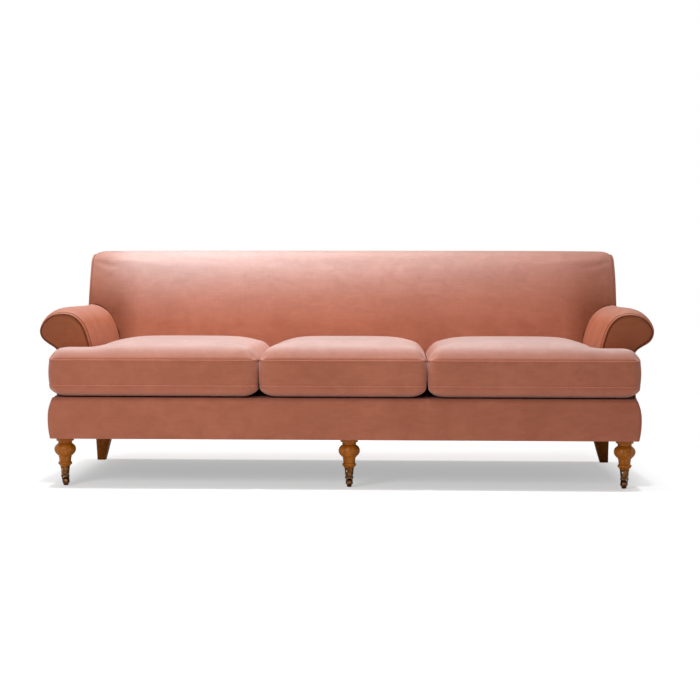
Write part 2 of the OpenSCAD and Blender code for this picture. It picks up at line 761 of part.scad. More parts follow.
// A seat cushion over x0 to x1, with an ear out to x2 in front of the arm where x2 passes x1
module cushion_form(x0, x1, x2) {
    y0 = front_y;
    y1 = cushion_rear_y;
    notch_y = arm_y - 2 * gap;
    eared = x2 > x1;
    body_x = grid_places(x0, x1, 4);
    ear_step = (x2 - x1) / 6;
    ear_x = eared ? [for (k = [1:6]) x1 + k * ear_step] : [];
    xs = concat(body_x, ear_x);
    ear_y = grid_places(y0, notch_y, 1);
    ys = eared ? concat(ear_y, [for (s = [1, 2]) notch_y + s * edge_roll / 2],
        [for (k = [1:4]) notch_y + edge_roll + (y1 - notch_y - 2 * edge_roll) * k / 5],
        reversed([for (s = edge_share) y1 - s * edge_roll])) : grid_places(y0, y1, 6);
    nb = len(body_x) - 1;
    ne = len(ear_x);
    ny = len(ys) - 1;
    jn = eared ? len(ear_y) - 1 : -1;
    body_count = (nb + 1) * (ny + 1);
    function at(i, j) = i <= nb ? j * (nb + 1) + i : body_count + j * ne + i - nb - 1;

    // Depth of a grid point inside the cushion's outline
    function depth(p) = eared ? max(inside(p, x0, x1, y0, y1), inside(p, x0, x2, y0, notch_y))
        : inside(p, x0, x1, y0, y1);
    // Seams lie inside the bulge of the side band
    function seam(p) = let (
        q = [
            min(max(p[0], x0 + side_bulge), x2 - side_bulge),
            min(max(p[1], y0 + side_bulge), y1 - side_bulge)
        ]
    ) eared && p[1] >= notch_y && p[0] >= x1
        ? [p[0] > x1 ? q[0] : x1 - side_bulge, p[1] > notch_y ? q[1] : notch_y - side_bulge]
        : q;
    function rounded_off(p, m) =
        let (
            a = round_in(p, [x0 + m, y0 + m], [1, 1], cushion_r),
            b = round_in(a, [(eared ? x2 : x1) - m, y0 + m], [-1, 1], cushion_r),
            c = round_in(b, [x0 + m, y1 - m], [1, -1], cushion_r),
            d = round_in(c, [x1 - m, y1 - m], [-1, -1], cushion_r)
        )
        eared ? round_in(d, [x2 - m, notch_y - m], [-1, -1], cushion_r) : d;

    grid = concat(
        [for (j = [0:ny]) for (i = [0:nb]) [xs[i], ys[j]]],
        eared ? [for (j = [0:jn]) for (i = [1:ne]) [xs[nb + i], ys[j]]] : []
    );
    plan = [for (p = grid) rounded_off(seam(p), side_bulge)];
    middle = [(x0 + x1) / 2, (y0 + y1) / 2];
    dome = [for (p = grid)
        max(0, 1 - pow((p[0] - middle[0]) / (x1 - x0) * 2, 2))
        * max(0, 1 - pow((p[1] - middle[1]) / (y1 - y0) * 2, 2))];
    top = [for (k = [0:len(grid) - 1])
        [plan[k][0], plan[k][1], top_seam_z + edge_rise * roll_up(depth(grid[k]), edge_roll)
            + crown_rise * sqrt(dome[k])]];
    bottom = [for (k = [0:len(grid) - 1])
        [plan[k][0], plan[k][1], low_seam_z - low_seam_h * roll_up(depth(grid[k]), low_roll)]];

    // Grid points round the outline, anticlockwise from the front left corner
    loop = concat(
        [for (i = [0:nb]) [i, 0]],
        eared ? [for (i = [1:ne]) [nb + i, 0]] : [],
        eared ? [for (j = [1:jn]) [nb + ne, j]] : [],
        eared ? [for (i = [ne - 1:-1:0]) [nb + i, jn]] : [],
        [for (j = [jn + 1 + (eared ? 0 : 1):ny]) [nb, j]],
        [for (i = [nb - 1:-1:0]) [i, ny]],
        [for (j = [ny - 1:-1:1]) [0, j]]
    );
    n = len(grid);
    band = [for (q = loop)
        let (p = rounded_off(grid[at(q[0], q[1])], 0)) [p[0], p[1], (low_seam_z + top_seam_z) / 2]];
    m = len(loop);
    cells = concat(
        [for (j = [0:ny - 1]) for (i = [0:nb - 1]) [i, j]],
        eared ? [for (j = [0:jn - 1]) for (i = [0:ne - 1]) [nb + i, j]] : []
    );
    faces = concat(
        [for (c = cells) [at(c[0], c[1]), at(c[0], c[1] + 1), at(c[0] + 1, c[1] + 1)]],
        [for (c = cells) [at(c[0], c[1]), at(c[0] + 1, c[1] + 1), at(c[0] + 1, c[1])]],
        [for (c = cells) [n + at(c[0], c[1]), n + at(c[0] + 1, c[1] + 1), n + at(c[0], c[1] + 1)]],
        [for (c = cells) [n + at(c[0], c[1]), n + at(c[0] + 1, c[1]), n + at(c[0] + 1, c[1] + 1)]],
        [for (k = [0:m - 1])
            let (a = at(loop[k][0], loop[k][1]), b = at(loop[(k + 1) % m][0], loop[(k + 1) % m][1]))
            each [
                [a, b, 2 * n + (k + 1) % m], [a, 2 * n + (k + 1) % m, 2 * n + k],
                [2 * n + k, 2 * n + (k + 1) % m, n + b], [2 * n + k, n + b, n + a]
            ]]
    );
    polyhedron(points = concat(top, bottom, band), faces = faces, convexity = 4);
}

core_low = cushion_z + core_in / 2;
core_high = top_seam_z + edge_rise / 2;

module foam_core(x0, x1, shrink) {
    slab(x0 + core_in + shrink, x1 - core_in - shrink, front_y + core_in + shrink,
        cushion_rear_y - core_in - shrink, core_low + shrink, core_high - shrink);
}

module end_cushion(side) {
    x0 = mid_cushion_w / 2 + gap / 2;
    x1 = arm_x - 2 * gap;
    color(velvet) on_side(side) difference() {
        cushion_form(x0, x1, timber_x + gap);
        foam_core(x0, x1, 0);
    }
}

module middle_cushion() {
    x1 = mid_cushion_w / 2 - gap / 2;
    color(velvet) difference() {
        cushion_form(-x1, x1, x1);
        foam_core(-x1, x1, 0);
    }
}

module end_core(side) {
    color(foam) on_side(side) foam_core(mid_cushion_w / 2 + gap / 2, arm_x - 2 * gap, gap);
}

module middle_core() {
    color(foam) foam_core(-mid_cushion_w / 2 + gap / 2, mid_cushion_w / 2 - gap / 2, gap);
}

// Front legs

// Profile of the turned leg from its top: first the share of the turned length below the top,
// then the share of the ball's radius. A point given twice is a sharp edge.
turning_share = [
    [[0, 0.80], [0.02, 0.81], [0.09, 0.81], [0.11, 0.79]],
    [[0.11, 0.66], [0.135, 0.64], [0.16, 0.655], [0.185, 0.64]],
    [[0.195, 0.60], [0.23, 0.74], [0.30, 0.92], [0.40, 1], [0.50, 0.93], [0.575, 0.78], [0.63, 0.62]],
    [[0.64, 0.60], [0.74, 0.555], [0.83, 0.54]],
    [[0.835, 0.56], [0.86, 0.63], [0.89, 0.65], [0.92, 0.62], [0.965, 0.50], [1, 0.44]]
];
collar_share = 0.81;
collar_r = collar_share * ball_d / 2;
cup_top = timber_z - turning_l;
cup_z = cup_top - cup_h;
floor_t = 1.5 * cup_t;
tenon_z = cup_z + floor_t + gap;
tenon_low_r = tenon_d / 2 - cup_t;
stem_top = cup_top - cup_t;

module front_leg(x) {
    line = [for (part = turning_share) each spline(
        [for (s = part) [s[1] * ball_d / 2, timber_z - s[0] * turning_l]], curve_steps + 1)];
    color(honey) translate([x, front_leg_y, 0]) difference() {
        rotate_extrude($fn = 48) polygon(concat(
            [[0, timber_z]], line,
            [[tenon_d / 2, cup_top], [tenon_low_r, tenon_z], [0, tenon_z]]
        ));
        translate([0, 0, timber_z - bolt_l - gap])
            cylinder(d = bolt_d + 2 * run_gap, h = bolt_l + over, $fn = 32);
        translate([0, 0, tenon_z - over])
            cylinder(d = stem_d + 2 * gap, h = stem_top + gap - tenon_z + over, $fn = 32);
    }
}

// Rear legs, sawn to a curve in both views

// Heights along the curve, and the powers by which the leg sweeps back, narrows and flares
rear_curve_share = [0, 0.25, 0.5, 0.75, 1];
sweep_power = 1.4;
narrow_power = 1.25;
flare_power = 2;
function sweep_share(t) = pow(t, sweep_power);

module rear_leg(side) {
    top_z = timber_z;
    outer_top = timber_x - gap;
    foot_x = half_w - rear_foot_in;
    front_line = [for (t = rear_curve_share)
        [rear_top_y + rear_sweep * sweep_share(t) + (rear_top_d - rear_foot_d) * t * (1 - t) / 2,
            top_z * (1 - t)]];
    rear_line = [for (t = rear_curve_share)
        [rear_top_y + rear_top_d + (rear_sweep - rear_top_d + rear_foot_d) * sweep_share(t),
            top_z * (1 - t)]];
    inner_line = [for (t = rear_curve_share)
        [outer_top - rear_top_w
            + (foot_x - rear_foot_w - outer_top + rear_top_w) * pow(t, narrow_power), top_z * (1 - t)]];
    outer_line = [for (t = rear_curve_share)
        [outer_top + (foot_x - outer_top) * pow(t, flare_power), top_z * (1 - t)]];
    color(walnut) on_side(side) difference() {
        intersection() {
            along_x(0, half_w) polygon(concat(front_line, reversed(rear_line)));
            along_y(0, back_y) polygon(concat(inner_line, reversed(outer_line)));
        }
        translate([rear_bolt_x, rear_bolt_y, timber_z - bolt_l - gap])
            cylinder(d = bolt_d + 2 * run_gap, h = bolt_l + over, $fn = 32);
    }
}

module leg_bolts() {
    color(steel) for (p = bolt_places)
        translate([p[0], p[1], timber_z - bolt_l]) cylinder(d = bolt_d, h = 2 * bolt_l, $fn = 32);
}

// Casters

axle_z = wheel_d / 2;
crown_gap = 2;
crown_z = cup_z - crown_t - crown_gap;
cheek_in = wheel_w / 2 + 2 * gap;
bead_share = 0.5;

module cup(x) {
    lean = (cup_d - cup_low_d) / 2 / cup_h;
    top_r = cup_d / 2;
    low_r = cup_low_d / 2;
    color(brass) translate([x, front_leg_y, 0]) difference() {
        rotate_extrude($fn = 48) polygon([
            [0, cup_z], [low_r - cup_t / 2, cup_z], [low_r, cup_z + cup_t / 2],
            [top_r - lean * 2 * cup_t, cup_top - 2 * cup_t], [top_r + bead_share * cup_t, cup_top - cup_t],
            [top_r, cup_top - gap], [top_r - cup_t, cup_top - gap],
            [tenon_d / 2 + gap, cup_top - cup_t],
            [tenon_low_r + gap, cup_z + floor_t], [0, cup_z + floor_t]
        ]);
        translate([0, 0, cup_z - over])
            cylinder(d = stem_d + 2 * run_gap, h = cup_h, $fn = 32);
    }
}

// Horn of the caster: a crown plate and stem, and two cheeks that carry the axle behind the stem
module fork(x) {
    eye_r = axle_d;
    color(brass) translate([x, front_leg_y, 0]) difference() {
        union() {
            translate([0, 0, crown_z]) cylinder(d = crown_d, h = crown_t, $fn = 48);
            translate([0, 0, crown_z]) cylinder(d = stem_d, h = stem_top - crown_z, $fn = 32);
            for (side = [-1, 1]) on_side(side) along_x(cheek_in, cheek_in + cheek_t) {
                translate([trail, axle_z]) circle(r = eye_r, $fn = 32);
                polygon([
                    [trail - eye_r, axle_z], [trail + eye_r, axle_z],
                    [crown_d / 4, crown_z + crown_t / 2], [-crown_d / 4, crown_z + crown_t / 2]
                ]);
            }
        }
        along_x(-crown_d, crown_d) translate([trail, axle_z]) circle(d = axle_d + 2 * run_gap, $fn = 32);
    }
}

// Riveted axle with a low head outside each cheek
rivet_share = 1.5;

module axle(x) {
    end_x = cheek_in + cheek_t + run_gap;
    color(steel) translate([x, front_leg_y, 0]) union() {
        along_x(-end_x, end_x) translate([trail, axle_z]) circle(d = axle_d, $fn = 32);
        for (side = [-1, 1]) on_side(side) along_x(end_x, end_x + cheek_t / 2)
            translate([trail, axle_z]) circle(d = rivet_share * axle_d, $fn = 32);
    }
}

wheel_r_share = 0.16;

module wheel(x) {
    r = wheel_d / 2;
    half = wheel_w / 2;
    soft = wheel_r_share * wheel_d;
    hub = axle_d / 2 + run_gap;
    dish = half - cup_t / 2;
    upper = concat(
        [[hub, half], [axle_d, half], [axle_d + cup_t, dish], [r - soft - cup_t, dish]],
        rounded([[r - soft, half], [r, half], [r, 0]], [0, soft, 0])
    );
    lower = [for (q = upper) [q[0], -q[1]]];
    color(brass) translate([x, front_leg_y + trail, axle_z]) rotate([0, 90, 0])
        rotate_extrude($fn = 64) polygon(concat(upper, reversed(lower)));
}

front_rail();
back_rail();
side_rail(-1);  // left_side_rail
side_rail(1);  // right_side_rail
cross_rails();
corner_blocks();
seat_springs();
spring_clips();
deck_pad();
dust_cover();
front_band();
arm_stump(-1);  // left_arm_stump
arm_stump(1);  // right_arm_stump
arm_board(-1);  // left_arm_board
arm_board(1);  // right_arm_board
arm_tack_rails();
arm_pad(-1);  // left_arm_pad
arm_pad(1);  // right_arm_pad
scroll_panel(-1);  // left_scroll_panel
scroll_panel(1);  // right_scroll_panel
outside_arm(-1);  // left_outside_arm
outside_arm(1);  // right_outside_arm
back_post(-1);  // left_back_post
back_post(1);  // right_back_post
back_uprights();
back_top_rail();
back_tack_rail();
back_webbing();
back_pad();
back_boxing(-1);  // left_back_boxing
back_boxing(1);  // right_back_boxing
outside_back();
end_cushion(-1);  // left_cushion
middle_cushion();
end_cushion(1);  // right_cushion
end_core(-1);  // left_core
middle_core();
end_core(1);  // right_core
front_leg(-front_leg_x);  // left_front_leg
front_leg(mid_leg_x);  // middle_front_leg
front_leg(front_leg_x);  // right_front_leg
rear_leg(-1);  // left_rear_leg
rear_leg(1);  // right_rear_leg
leg_bolts();
cup(-front_leg_x);  // left_cup
cup(mid_leg_x);  // middle_cup
cup(front_leg_x);  // right_cup
fork(-front_leg_x);  // left_fork
fork(mid_leg_x);  // middle_fork
fork(front_leg_x);  // right_fork
axle(-front_leg_x);  // left_axle
axle(mid_leg_x);  // middle_axle
axle(front_leg_x);  // right_axle
wheel(-front_leg_x);  // left_wheel
wheel(mid_leg_x);  // middle_wheel
wheel(front_leg_x);  // right_wheel
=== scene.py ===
"""Looks of a velvet rolled-arm sofa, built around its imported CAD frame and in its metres."""

import json
from math import cos, exp, hypot, pi, prod, radians, sin, sqrt, tan

import bmesh
import bpy
from mathutils import Matrix, Vector


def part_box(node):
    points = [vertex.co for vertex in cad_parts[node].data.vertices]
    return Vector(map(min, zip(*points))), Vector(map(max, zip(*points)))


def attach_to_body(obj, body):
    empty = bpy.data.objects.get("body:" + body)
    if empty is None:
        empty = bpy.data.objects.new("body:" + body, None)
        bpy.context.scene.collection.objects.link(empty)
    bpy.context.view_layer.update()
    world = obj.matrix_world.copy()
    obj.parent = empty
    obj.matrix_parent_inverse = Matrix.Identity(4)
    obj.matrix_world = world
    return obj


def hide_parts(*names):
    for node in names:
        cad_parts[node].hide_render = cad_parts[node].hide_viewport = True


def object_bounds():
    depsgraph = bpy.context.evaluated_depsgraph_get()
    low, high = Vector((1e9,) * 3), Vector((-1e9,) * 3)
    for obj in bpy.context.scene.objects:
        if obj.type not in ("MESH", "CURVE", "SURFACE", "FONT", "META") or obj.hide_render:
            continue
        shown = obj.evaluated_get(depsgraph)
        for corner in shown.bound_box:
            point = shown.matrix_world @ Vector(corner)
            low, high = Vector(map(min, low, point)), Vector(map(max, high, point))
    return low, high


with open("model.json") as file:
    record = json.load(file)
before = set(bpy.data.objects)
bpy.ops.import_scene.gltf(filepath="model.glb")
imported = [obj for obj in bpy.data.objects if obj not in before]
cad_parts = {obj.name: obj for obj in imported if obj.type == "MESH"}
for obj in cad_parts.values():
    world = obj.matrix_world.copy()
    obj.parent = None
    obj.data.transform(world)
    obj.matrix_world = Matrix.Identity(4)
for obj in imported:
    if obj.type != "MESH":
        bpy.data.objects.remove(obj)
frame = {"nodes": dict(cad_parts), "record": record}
cad_low, cad_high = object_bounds()
cad_nodes = frame["nodes"]
scene = bpy.context.scene

FRAME_BODY = "sofa_frame"
SIDES = {"left": -1, "right": 1}
TINY = 1e-9

# Places taken from the CAD frame
BAND_LOW, BAND_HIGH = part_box("front_band")
CUSHION_LOW, CUSHION_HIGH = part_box("right_cushion")
MIDDLE_LOW, MIDDLE_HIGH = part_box("middle_cushion")
ARM_LOW, ARM_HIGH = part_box("right_arm_pad")
DECK_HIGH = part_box("deck_pad")[1]
OUTSIDE_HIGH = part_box("outside_back")[1]
HALF_BODY = BAND_HIGH.x
ARM_X = ARM_LOW.x
ARM_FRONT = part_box("right_scroll_panel")[0].y
BOXING_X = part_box("right_back_boxing")[0].x
BACK_Y = OUTSIDE_HIGH.y
PANEL_TOP = OUTSIDE_HIGH.z
SOFA_TOP = cad_high.z
# Clearance between neighbouring pieces
GAP = 0.0003

# The camera, worked out from the outlines of the sofa
CAMERA_PLACE = (0.2165, -5.69, 0.688)
CAMERA_TURN = (pi / 2 - 0.0396, -0.0016, 0.0365)
CAMERA_LENS = 78.6
CAMERA_SENSOR = 36.0


# Small mesh tools

CORD_ROUNDNESS = 2
PAD_POWER = 2.3


def add_object(name, points, faces, material):
    mesh = bpy.data.meshes.new(name)
    mesh.from_pydata([tuple(p) for p in points], [], faces)
    mesh.materials.append(material)
    tool = bmesh.new()
    tool.from_mesh(mesh)
    bmesh.ops.recalc_face_normals(tool, faces=tool.faces)
    for face in tool.faces:
        face.smooth = True
    tool.to_mesh(mesh)
    tool.free()
    piece = bpy.data.objects.new(name, mesh)
    scene.collection.objects.link(piece)
    return piece


def loft(name, rings, material):
    """A skin through rings of equally many points, with both ends closed by strips across."""
    n = len(rings[0])
    points = [p for ring in rings for p in ring]
    faces = [
        (j * n + i, j * n + (i + 1) % n, (j + 1) * n + (i + 1) % n, (j + 1) * n + i)
        for j in range(len(rings) - 1)
        for i in range(n)
    ]
    for first in (0, (len(rings) - 1) * n):
        for i in range((n - 1) // 2):
            strip = (first + i, first + i + 1, first + n - 2 - i, first + n - 1 - i)
            faces.append(strip if strip[1] != strip[2] else strip[:2] + strip[3:])
    return add_object(name, points, faces, material)


def add_cord(name, points, radius, material, body=FRAME_BODY, closed=False):
    """A round cord of cloth, such as a welt, along a line of points."""
    curve = bpy.data.curves.new(name, "CURVE")
    curve.dimensions = "3D"
    curve.bevel_depth = radius
    curve.bevel_resolution = CORD_ROUNDNESS
    curve.use_fill_caps = not closed
    spline = curve.splines.new("POLY")
    spline.points.add(len(points) - 1)
    for knot, p in zip(spline.points, points):
        knot.co = (*p, 1)
    spline.use_cyclic_u = closed
    curve.materials.append(material)
    piece = bpy.data.objects.new(name, curve)
    scene.collection.objects.link(piece)
    attach(piece, body)


def spread(a, b, count):
    return [a + (b - a) * k / (count - 1) for k in range(count)]


def smooth_step(x):
    x = min(max(x, 0), 1)
    return x * x * (3 - 2 * x)


def eased(x, start, run):
    """Eased rise from zero at a start to one a run later."""
    return smooth_step((x - start) / run)


def quarter_rise(x):
    """Quarter-round rise from zero at the edge to one."""
    x = min(max(x, 0), 1)
    return sqrt(1 - (1 - x) ** 2)


def pad_rise(x):
    """Rise of a padded edge from its seam, where it already leans in, to one."""
    return 1 - (1 - min(max(x, 0), 1)) ** PAD_POWER


def catmull(points, steps):
    """A smooth line through points."""
    line = []
    for i in range(len(points) - 1):
        a, b = points[max(i - 1, 0)], points[i]
        c, d = points[i + 1], points[min(i + 2, len(points) - 1)]
        for k in range(steps):
            t = k / steps
            bend = (2 * a - 5 * b + 4 * c - d) * t**2
            twist = (3 * b - a - 3 * c + d) * t**3
            line.append(0.5 * (2 * b + (c - a) * t + bend + twist))
    return line + [points[-1]]


def resample(points, count, closed=False):
    """Equally spaced points along a line."""
    line = points + [points[0]] if closed else points
    lengths = [0]
    for a, b in zip(line, line[1:]):
        lengths.append(lengths[-1] + (b - a).length)
    out, k = [], 0
    for s in spread(0, lengths[-1], count + 1 if closed else count):
        while k < len(line) - 2 and lengths[k + 1] < s:
            k += 1
        share = (s - lengths[k]) / max(lengths[k + 1] - lengths[k], TINY)
        out.append(line[k].lerp(line[k + 1], min(share, 1)))
    return out[:-1] if closed else out


def outward(points):
    """Unit normals that point out of a flat line that runs clockwise."""
    last = len(points) - 1
    found = []
    for i in range(last + 1):
        d = (points[min(i + 1, last)] - points[max(i - 1, 0)]).normalized()
        found.append(Vector((-d.y, d.x)))
    return found


def rounded_line(corners, radii, steps):
    """A line through corners, each rounded by its own radius in a number of steps."""
    line = []
    for i, (b, r) in enumerate(zip(corners, radii)):
        if r == 0:
            line.append(b)
            continue
        a, c = corners[i - 1], corners[(i + 1) % len(corners)]
        u, v = (a - b).normalized(), (c - b).normalized()
        half = u.angle(v) / 2
        centre = b + (u + v).normalized() * r / sin(half)
        start, end = b + u * r / tan(half) - centre, b + v * r / tan(half) - centre
        turn = start.angle_signed(end)
        for k in range(steps + 1):
            w = -turn * k / steps
            x = start.x * cos(w) - start.y * sin(w)
            y = start.x * sin(w) + start.y * cos(w)
            line.append(centre + Vector((x, y)))
    return line


def limited(start, end, most):
    """The end of a step, brought back to a distance from its start where the step is longer."""
    step = end - start
    return start + step * min(1, most / max(step.length, TINY))


def soften(piece):
    surface = piece.modifiers.new("smooth", "SUBSURF")
    surface.levels = 1
    surface.render_levels = 1


# Cloth: a cover inflated over its filling, held where it is sewn or rests

SIM_FRAMES = 20
SIM_QUALITY = 5
CLOTH_MASS = 0.3
CLOTH_STRETCH = 30
CLOTH_SHEAR = 12
CLOTH_BENDING = 1.0


def held_points(rings, inside, whole):
    """Points of a loft that stay: each ring's first and its inside, and all of the whole rings."""
    n = len(rings[0])
    held = set()
    for j in range(len(rings)):
        first = 0 if j in whole else inside
        held |= {j * n, *range(j * n + first, (j + 1) * n)}
    return held


def puff(piece, held, most, pressure):
    """Inflates a cover by simulation.

    The held points stay where they are, and no other point moves further than most.
    """
    rest = [v.co.copy() for v in piece.data.vertices]
    pins = piece.vertex_groups.new(name="held")
    pins.add(sorted(held), 1.0, "REPLACE")
    cloth = piece.modifiers.new("cover", "CLOTH")
    settings = cloth.settings
    settings.quality = SIM_QUALITY
    settings.mass = CLOTH_MASS
    settings.tension_stiffness = settings.compression_stiffness = CLOTH_STRETCH
    settings.shear_stiffness = CLOTH_SHEAR
    settings.bending_stiffness = CLOTH_BENDING
    settings.use_pressure = True
    settings.uniform_pressure_force = pressure
    settings.effector_weights.gravity = 0
    settings.vertex_group_mass = pins.name
    cloth.collision_settings.use_collision = False
    cloth.point_cache.frame_start = 1
    cloth.point_cache.frame_end = SIM_FRAMES
    for number in range(1, SIM_FRAMES + 1):
        scene.frame_set(number)
    shaped = piece.evaluated_get(bpy.context.evaluated_depsgraph_get())
    moved = [v.co.copy() for v in shaped.data.vertices]
    piece.modifiers.remove(cloth)
    scene.frame_set(1)
    for vertex, a, b in zip(piece.data.vertices, rest, moved):
        vertex.co = limited(a, b, most)
    piece.data.update()


# Materials


def node_material(name):
    material = bpy.data.materials.new(name)
    material.use_nodes = True
    tree = material.node_tree
    return material, tree, tree.nodes["Principled BSDF"]


def set_shader(shader, **values):
    for name, value in values.items():
        shader.inputs[name.replace("_", " ")].default_value = value


def object_place(tree, scale=(1, 1, 1)):
    """Places in the piece's own frame, each axis times its scale."""
    place = tree.nodes.new("ShaderNodeTexCoord")
    mapping = tree.nodes.new("ShaderNodeMapping")
    mapping.inputs["Scale"].default_value = scale
    tree.links.new(place.outputs["Object"], mapping.inputs["Vector"])
    return mapping.outputs["Vector"]


def noise(tree, scale, stretch=(1, 1, 1), detail=3, distortion=0):
    texture = tree.nodes.new("ShaderNodeTexNoise")
    texture.inputs["Scale"].default_value = scale
    texture.inputs["Detail"].default_value = detail
    texture.inputs["Distortion"].default_value = distortion
    tree.links.new(object_place(tree, stretch), texture.inputs["Vector"])
    return texture.outputs["Fac"]


def rescale(tree, source, low, high, end="To"):
    """Takes 0 to 1 to low to high, or the other way with end "From"."""
    scaled = tree.nodes.new("ShaderNodeMapRange")
    scaled.inputs[end + " Min"].default_value = low
    scaled.inputs[end + " Max"].default_value = high
    tree.links.new(source, scaled.inputs["Value"])
    return scaled.outputs["Result"]


def ramp(tree, source, *stops):
    """Colours by a value, from stops of place and colour."""
    found = tree.nodes.new("ShaderNodeValToRGB")
    elements = found.color_ramp.elements
    while len(elements) < len(stops):
        elements.new(0.5)
    for element, (place, colour) in zip(elements, stops):
        element.position = place
        element.color = (*colour, 1)
    tree.links.new(source, found.inputs["Fac"])
    return found.outputs["Color"]


def blend_colour(tree, share, a, b, kind="MIX"):
    """Mixes b over a by a share. Each of the three is a value or a socket."""
    mix = tree.nodes.new("ShaderNodeMix")
    mix.data_type = "RGBA"
    mix.blend_type = kind
    for socket, value in ((mix.inputs[0], share), (mix.inputs[6], a), (mix.inputs[7], b)):
        if hasattr(value, "links"):
            tree.links.new(value, socket)
        else:
            socket.default_value = value
    return mix.outputs[2]


def darken(tree, a, b):
    return blend_colour(tree, 1.0, a, b, "MULTIPLY")


def add_bump(tree, shader, height, strength, distance, under=None):
    bump = tree.nodes.new("ShaderNodeBump")
    bump.inputs["Strength"].default_value = strength
    bump.inputs["Distance"].default_value = distance
    tree.links.new(height, bump.inputs["Height"])
    if under:
        tree.links.new(under, bump.inputs["Normal"])
    tree.links.new(bump.outputs["Normal"], shader.inputs["Normal"])
    return bump.outputs["Normal"]


def painted_light_place(tree, source):
    """Where painted light goes, mostly from 0 to 1.

    The source is "facing" for how far the surface faces up, "height" for its height or "across"
    for its place from left to right.
    """
    if source == "facing":
        place = tree.nodes.new("ShaderNodeNewGeometry").outputs["Normal"]
    else:
        place = tree.nodes.new("ShaderNodeTexCoord").outputs["Object"]
    split = tree.nodes.new("ShaderNodeSeparateXYZ")
    tree.links.new(place, split.inputs[0])
    if source == "across":
        return rescale(tree, split.outputs["X"], -1.0, 1.0, "From")
    return split.outputs["Z"]


def painted_light_share(tree, painted_light):
    """The share of painted light: the product of ramps over its places."""
    share = None
    for source, stops in painted_light:
        greys = [(at, (amount,) * 3) for at, amount in stops]
        found = ramp(tree, painted_light_place(tree, source), *greys)
        share = darken(tree, share, found) if share else found
    return share


def velvet(name, light, dark, sheen, pale=(), deep=()):
    """Cotton velvet with brushed patches and slubs.

    The pale shares lay on painted sheen, and the deep shares lay on painted shade.
    """
    material, tree, shader = node_material(name)
    patches = noise(tree, 5, detail=4, distortion=0.6)
    slubs = noise(tree, 60, (0.25, 1, 4), detail=3)
    strands = noise(tree, 60, (4, 1, 0.25), detail=3)
    brushed = noise(tree, 16, (1, 1, 1.6), detail=6, distortion=1.0)
    warp = noise(tree, 420, (1, 1, 0.12), detail=2)
    cover = ramp(tree, patches, (0.34, dark), (0.66, light))
    # Painted light: the pale colour is painted sheen and the dark colour is painted shade
    for painted_light, colour in ((pale, PAINTED_SHEEN_COLOUR), (deep, PAINTED_SHADE_COLOUR)):
        if painted_light:
            cover = blend_colour(tree, painted_light_share(tree, painted_light), cover, (*colour, 1))
    for source, amount in (
        (slubs, (0.945, 0.94, 0.94)),
        (strands, (0.965, 0.96, 0.96)),
        (brushed, (0.91, 0.89, 0.88)),
    ):
        threads = ramp(tree, source, (0.32, amount), (0.66, (1, 1, 1)))
        cover = darken(tree, cover, threads)
    tree.links.new(cover, shader.inputs["Base Color"])
    tree.links.new(rescale(tree, slubs, 0.80, 0.95), shader.inputs["Roughness"])
    weave = add_bump(tree, shader, warp, 0.25, 0.0004)
    add_bump(tree, shader, patches, 0.20, 0.004, weave)
    set_shader(
        shader,
        Sheen_Weight=sheen,
        Sheen_Roughness=0.50,
        Sheen_Tint=(1.0, 0.74, 0.66, 1),
        Specular_IOR_Level=0.12,
    )
    return material


def wood(name, light, dark, roughness, coat, grain=(9, 9, 1.1)):
    """Stained or bare wood, with its grain along the axis of the least number."""
    material, tree, shader = node_material(name)
    figure = noise(tree, 9, grain, detail=6, distortion=1.2)
    pores = noise(tree, 60, (grain[0], grain[1], grain[2] * 0.6), detail=3)
    body = ramp(tree, figure, (0.30, dark), (0.70, light))
    lines = ramp(tree, pores, (0.42, (0.70, 0.66, 0.60)), (0.55, (1, 1, 1)))
    tree.links.new(darken(tree, body, lines), shader.inputs["Base Color"])
    add_bump(tree, shader, pores, 0.15, 0.0005)
    set_shader(
        shader,
        Roughness=roughness,
        Coat_Weight=coat,
        Coat_Roughness=0.12,
        Specular_IOR_Level=0.2,
    )
    return material


def metal(name, light, dark, roughness):
    """Metal with worn patches and fine scratches."""
    material, tree, shader = node_material(name)
    wear = noise(tree, 90, detail=5)
    scratches = noise(tree, 400, (1, 0.2, 1), detail=2)
    tree.links.new(ramp(tree, wear, (0.35, dark), (0.62, light)), shader.inputs["Base Color"])
    rough = rescale(tree, wear, roughness - 0.10, roughness + 0.15)
    tree.links.new(rough, shader.inputs["Roughness"])
    add_bump(tree, shader, scratches, 0.10, 0.0003)
    set_shader(shader, Metallic=1.0)
    return material


def woven(name, light, dark, scale):
    """Plain woven cloth, such as cambric, decking or webbing."""
    material, tree, shader = node_material(name)
    both = tree.nodes.new("ShaderNodeMath")
    both.operation = "MULTIPLY"
    for socket, direction in enumerate(("X", "Y")):
        wave = tree.nodes.new("ShaderNodeTexWave")
        wave.bands_direction = direction
        wave.inputs["Scale"].default_value = scale
        tree.links.new(object_place(tree), wave.inputs["Vector"])
        tree.links.new(wave.outputs["Fac"], both.inputs[socket])
    cloth = ramp(tree, both.outputs["Value"], (0.1, dark), (0.8, light))
    patches = ramp(tree, noise(tree, 8, detail=4), (0.3, (0.82, 0.82, 0.82)), (0.7, (1, 1, 1)))
    tree.links.new(darken(tree, cloth, patches), shader.inputs["Base Color"])
    add_bump(tree, shader, both.outputs["Value"], 0.4, 0.0005)
    set_shader(shader, Roughness=0.9, Specular_IOR_Level=0.2)
    return material


# Painted light: a pale colour for painted sheen and a dark colour for painted shade
PAINTED_SHEEN_COLOUR = (0.900, 0.740, 0.725)
PAINTED_SHADE_COLOUR = (0.230, 0.066, 0.030)
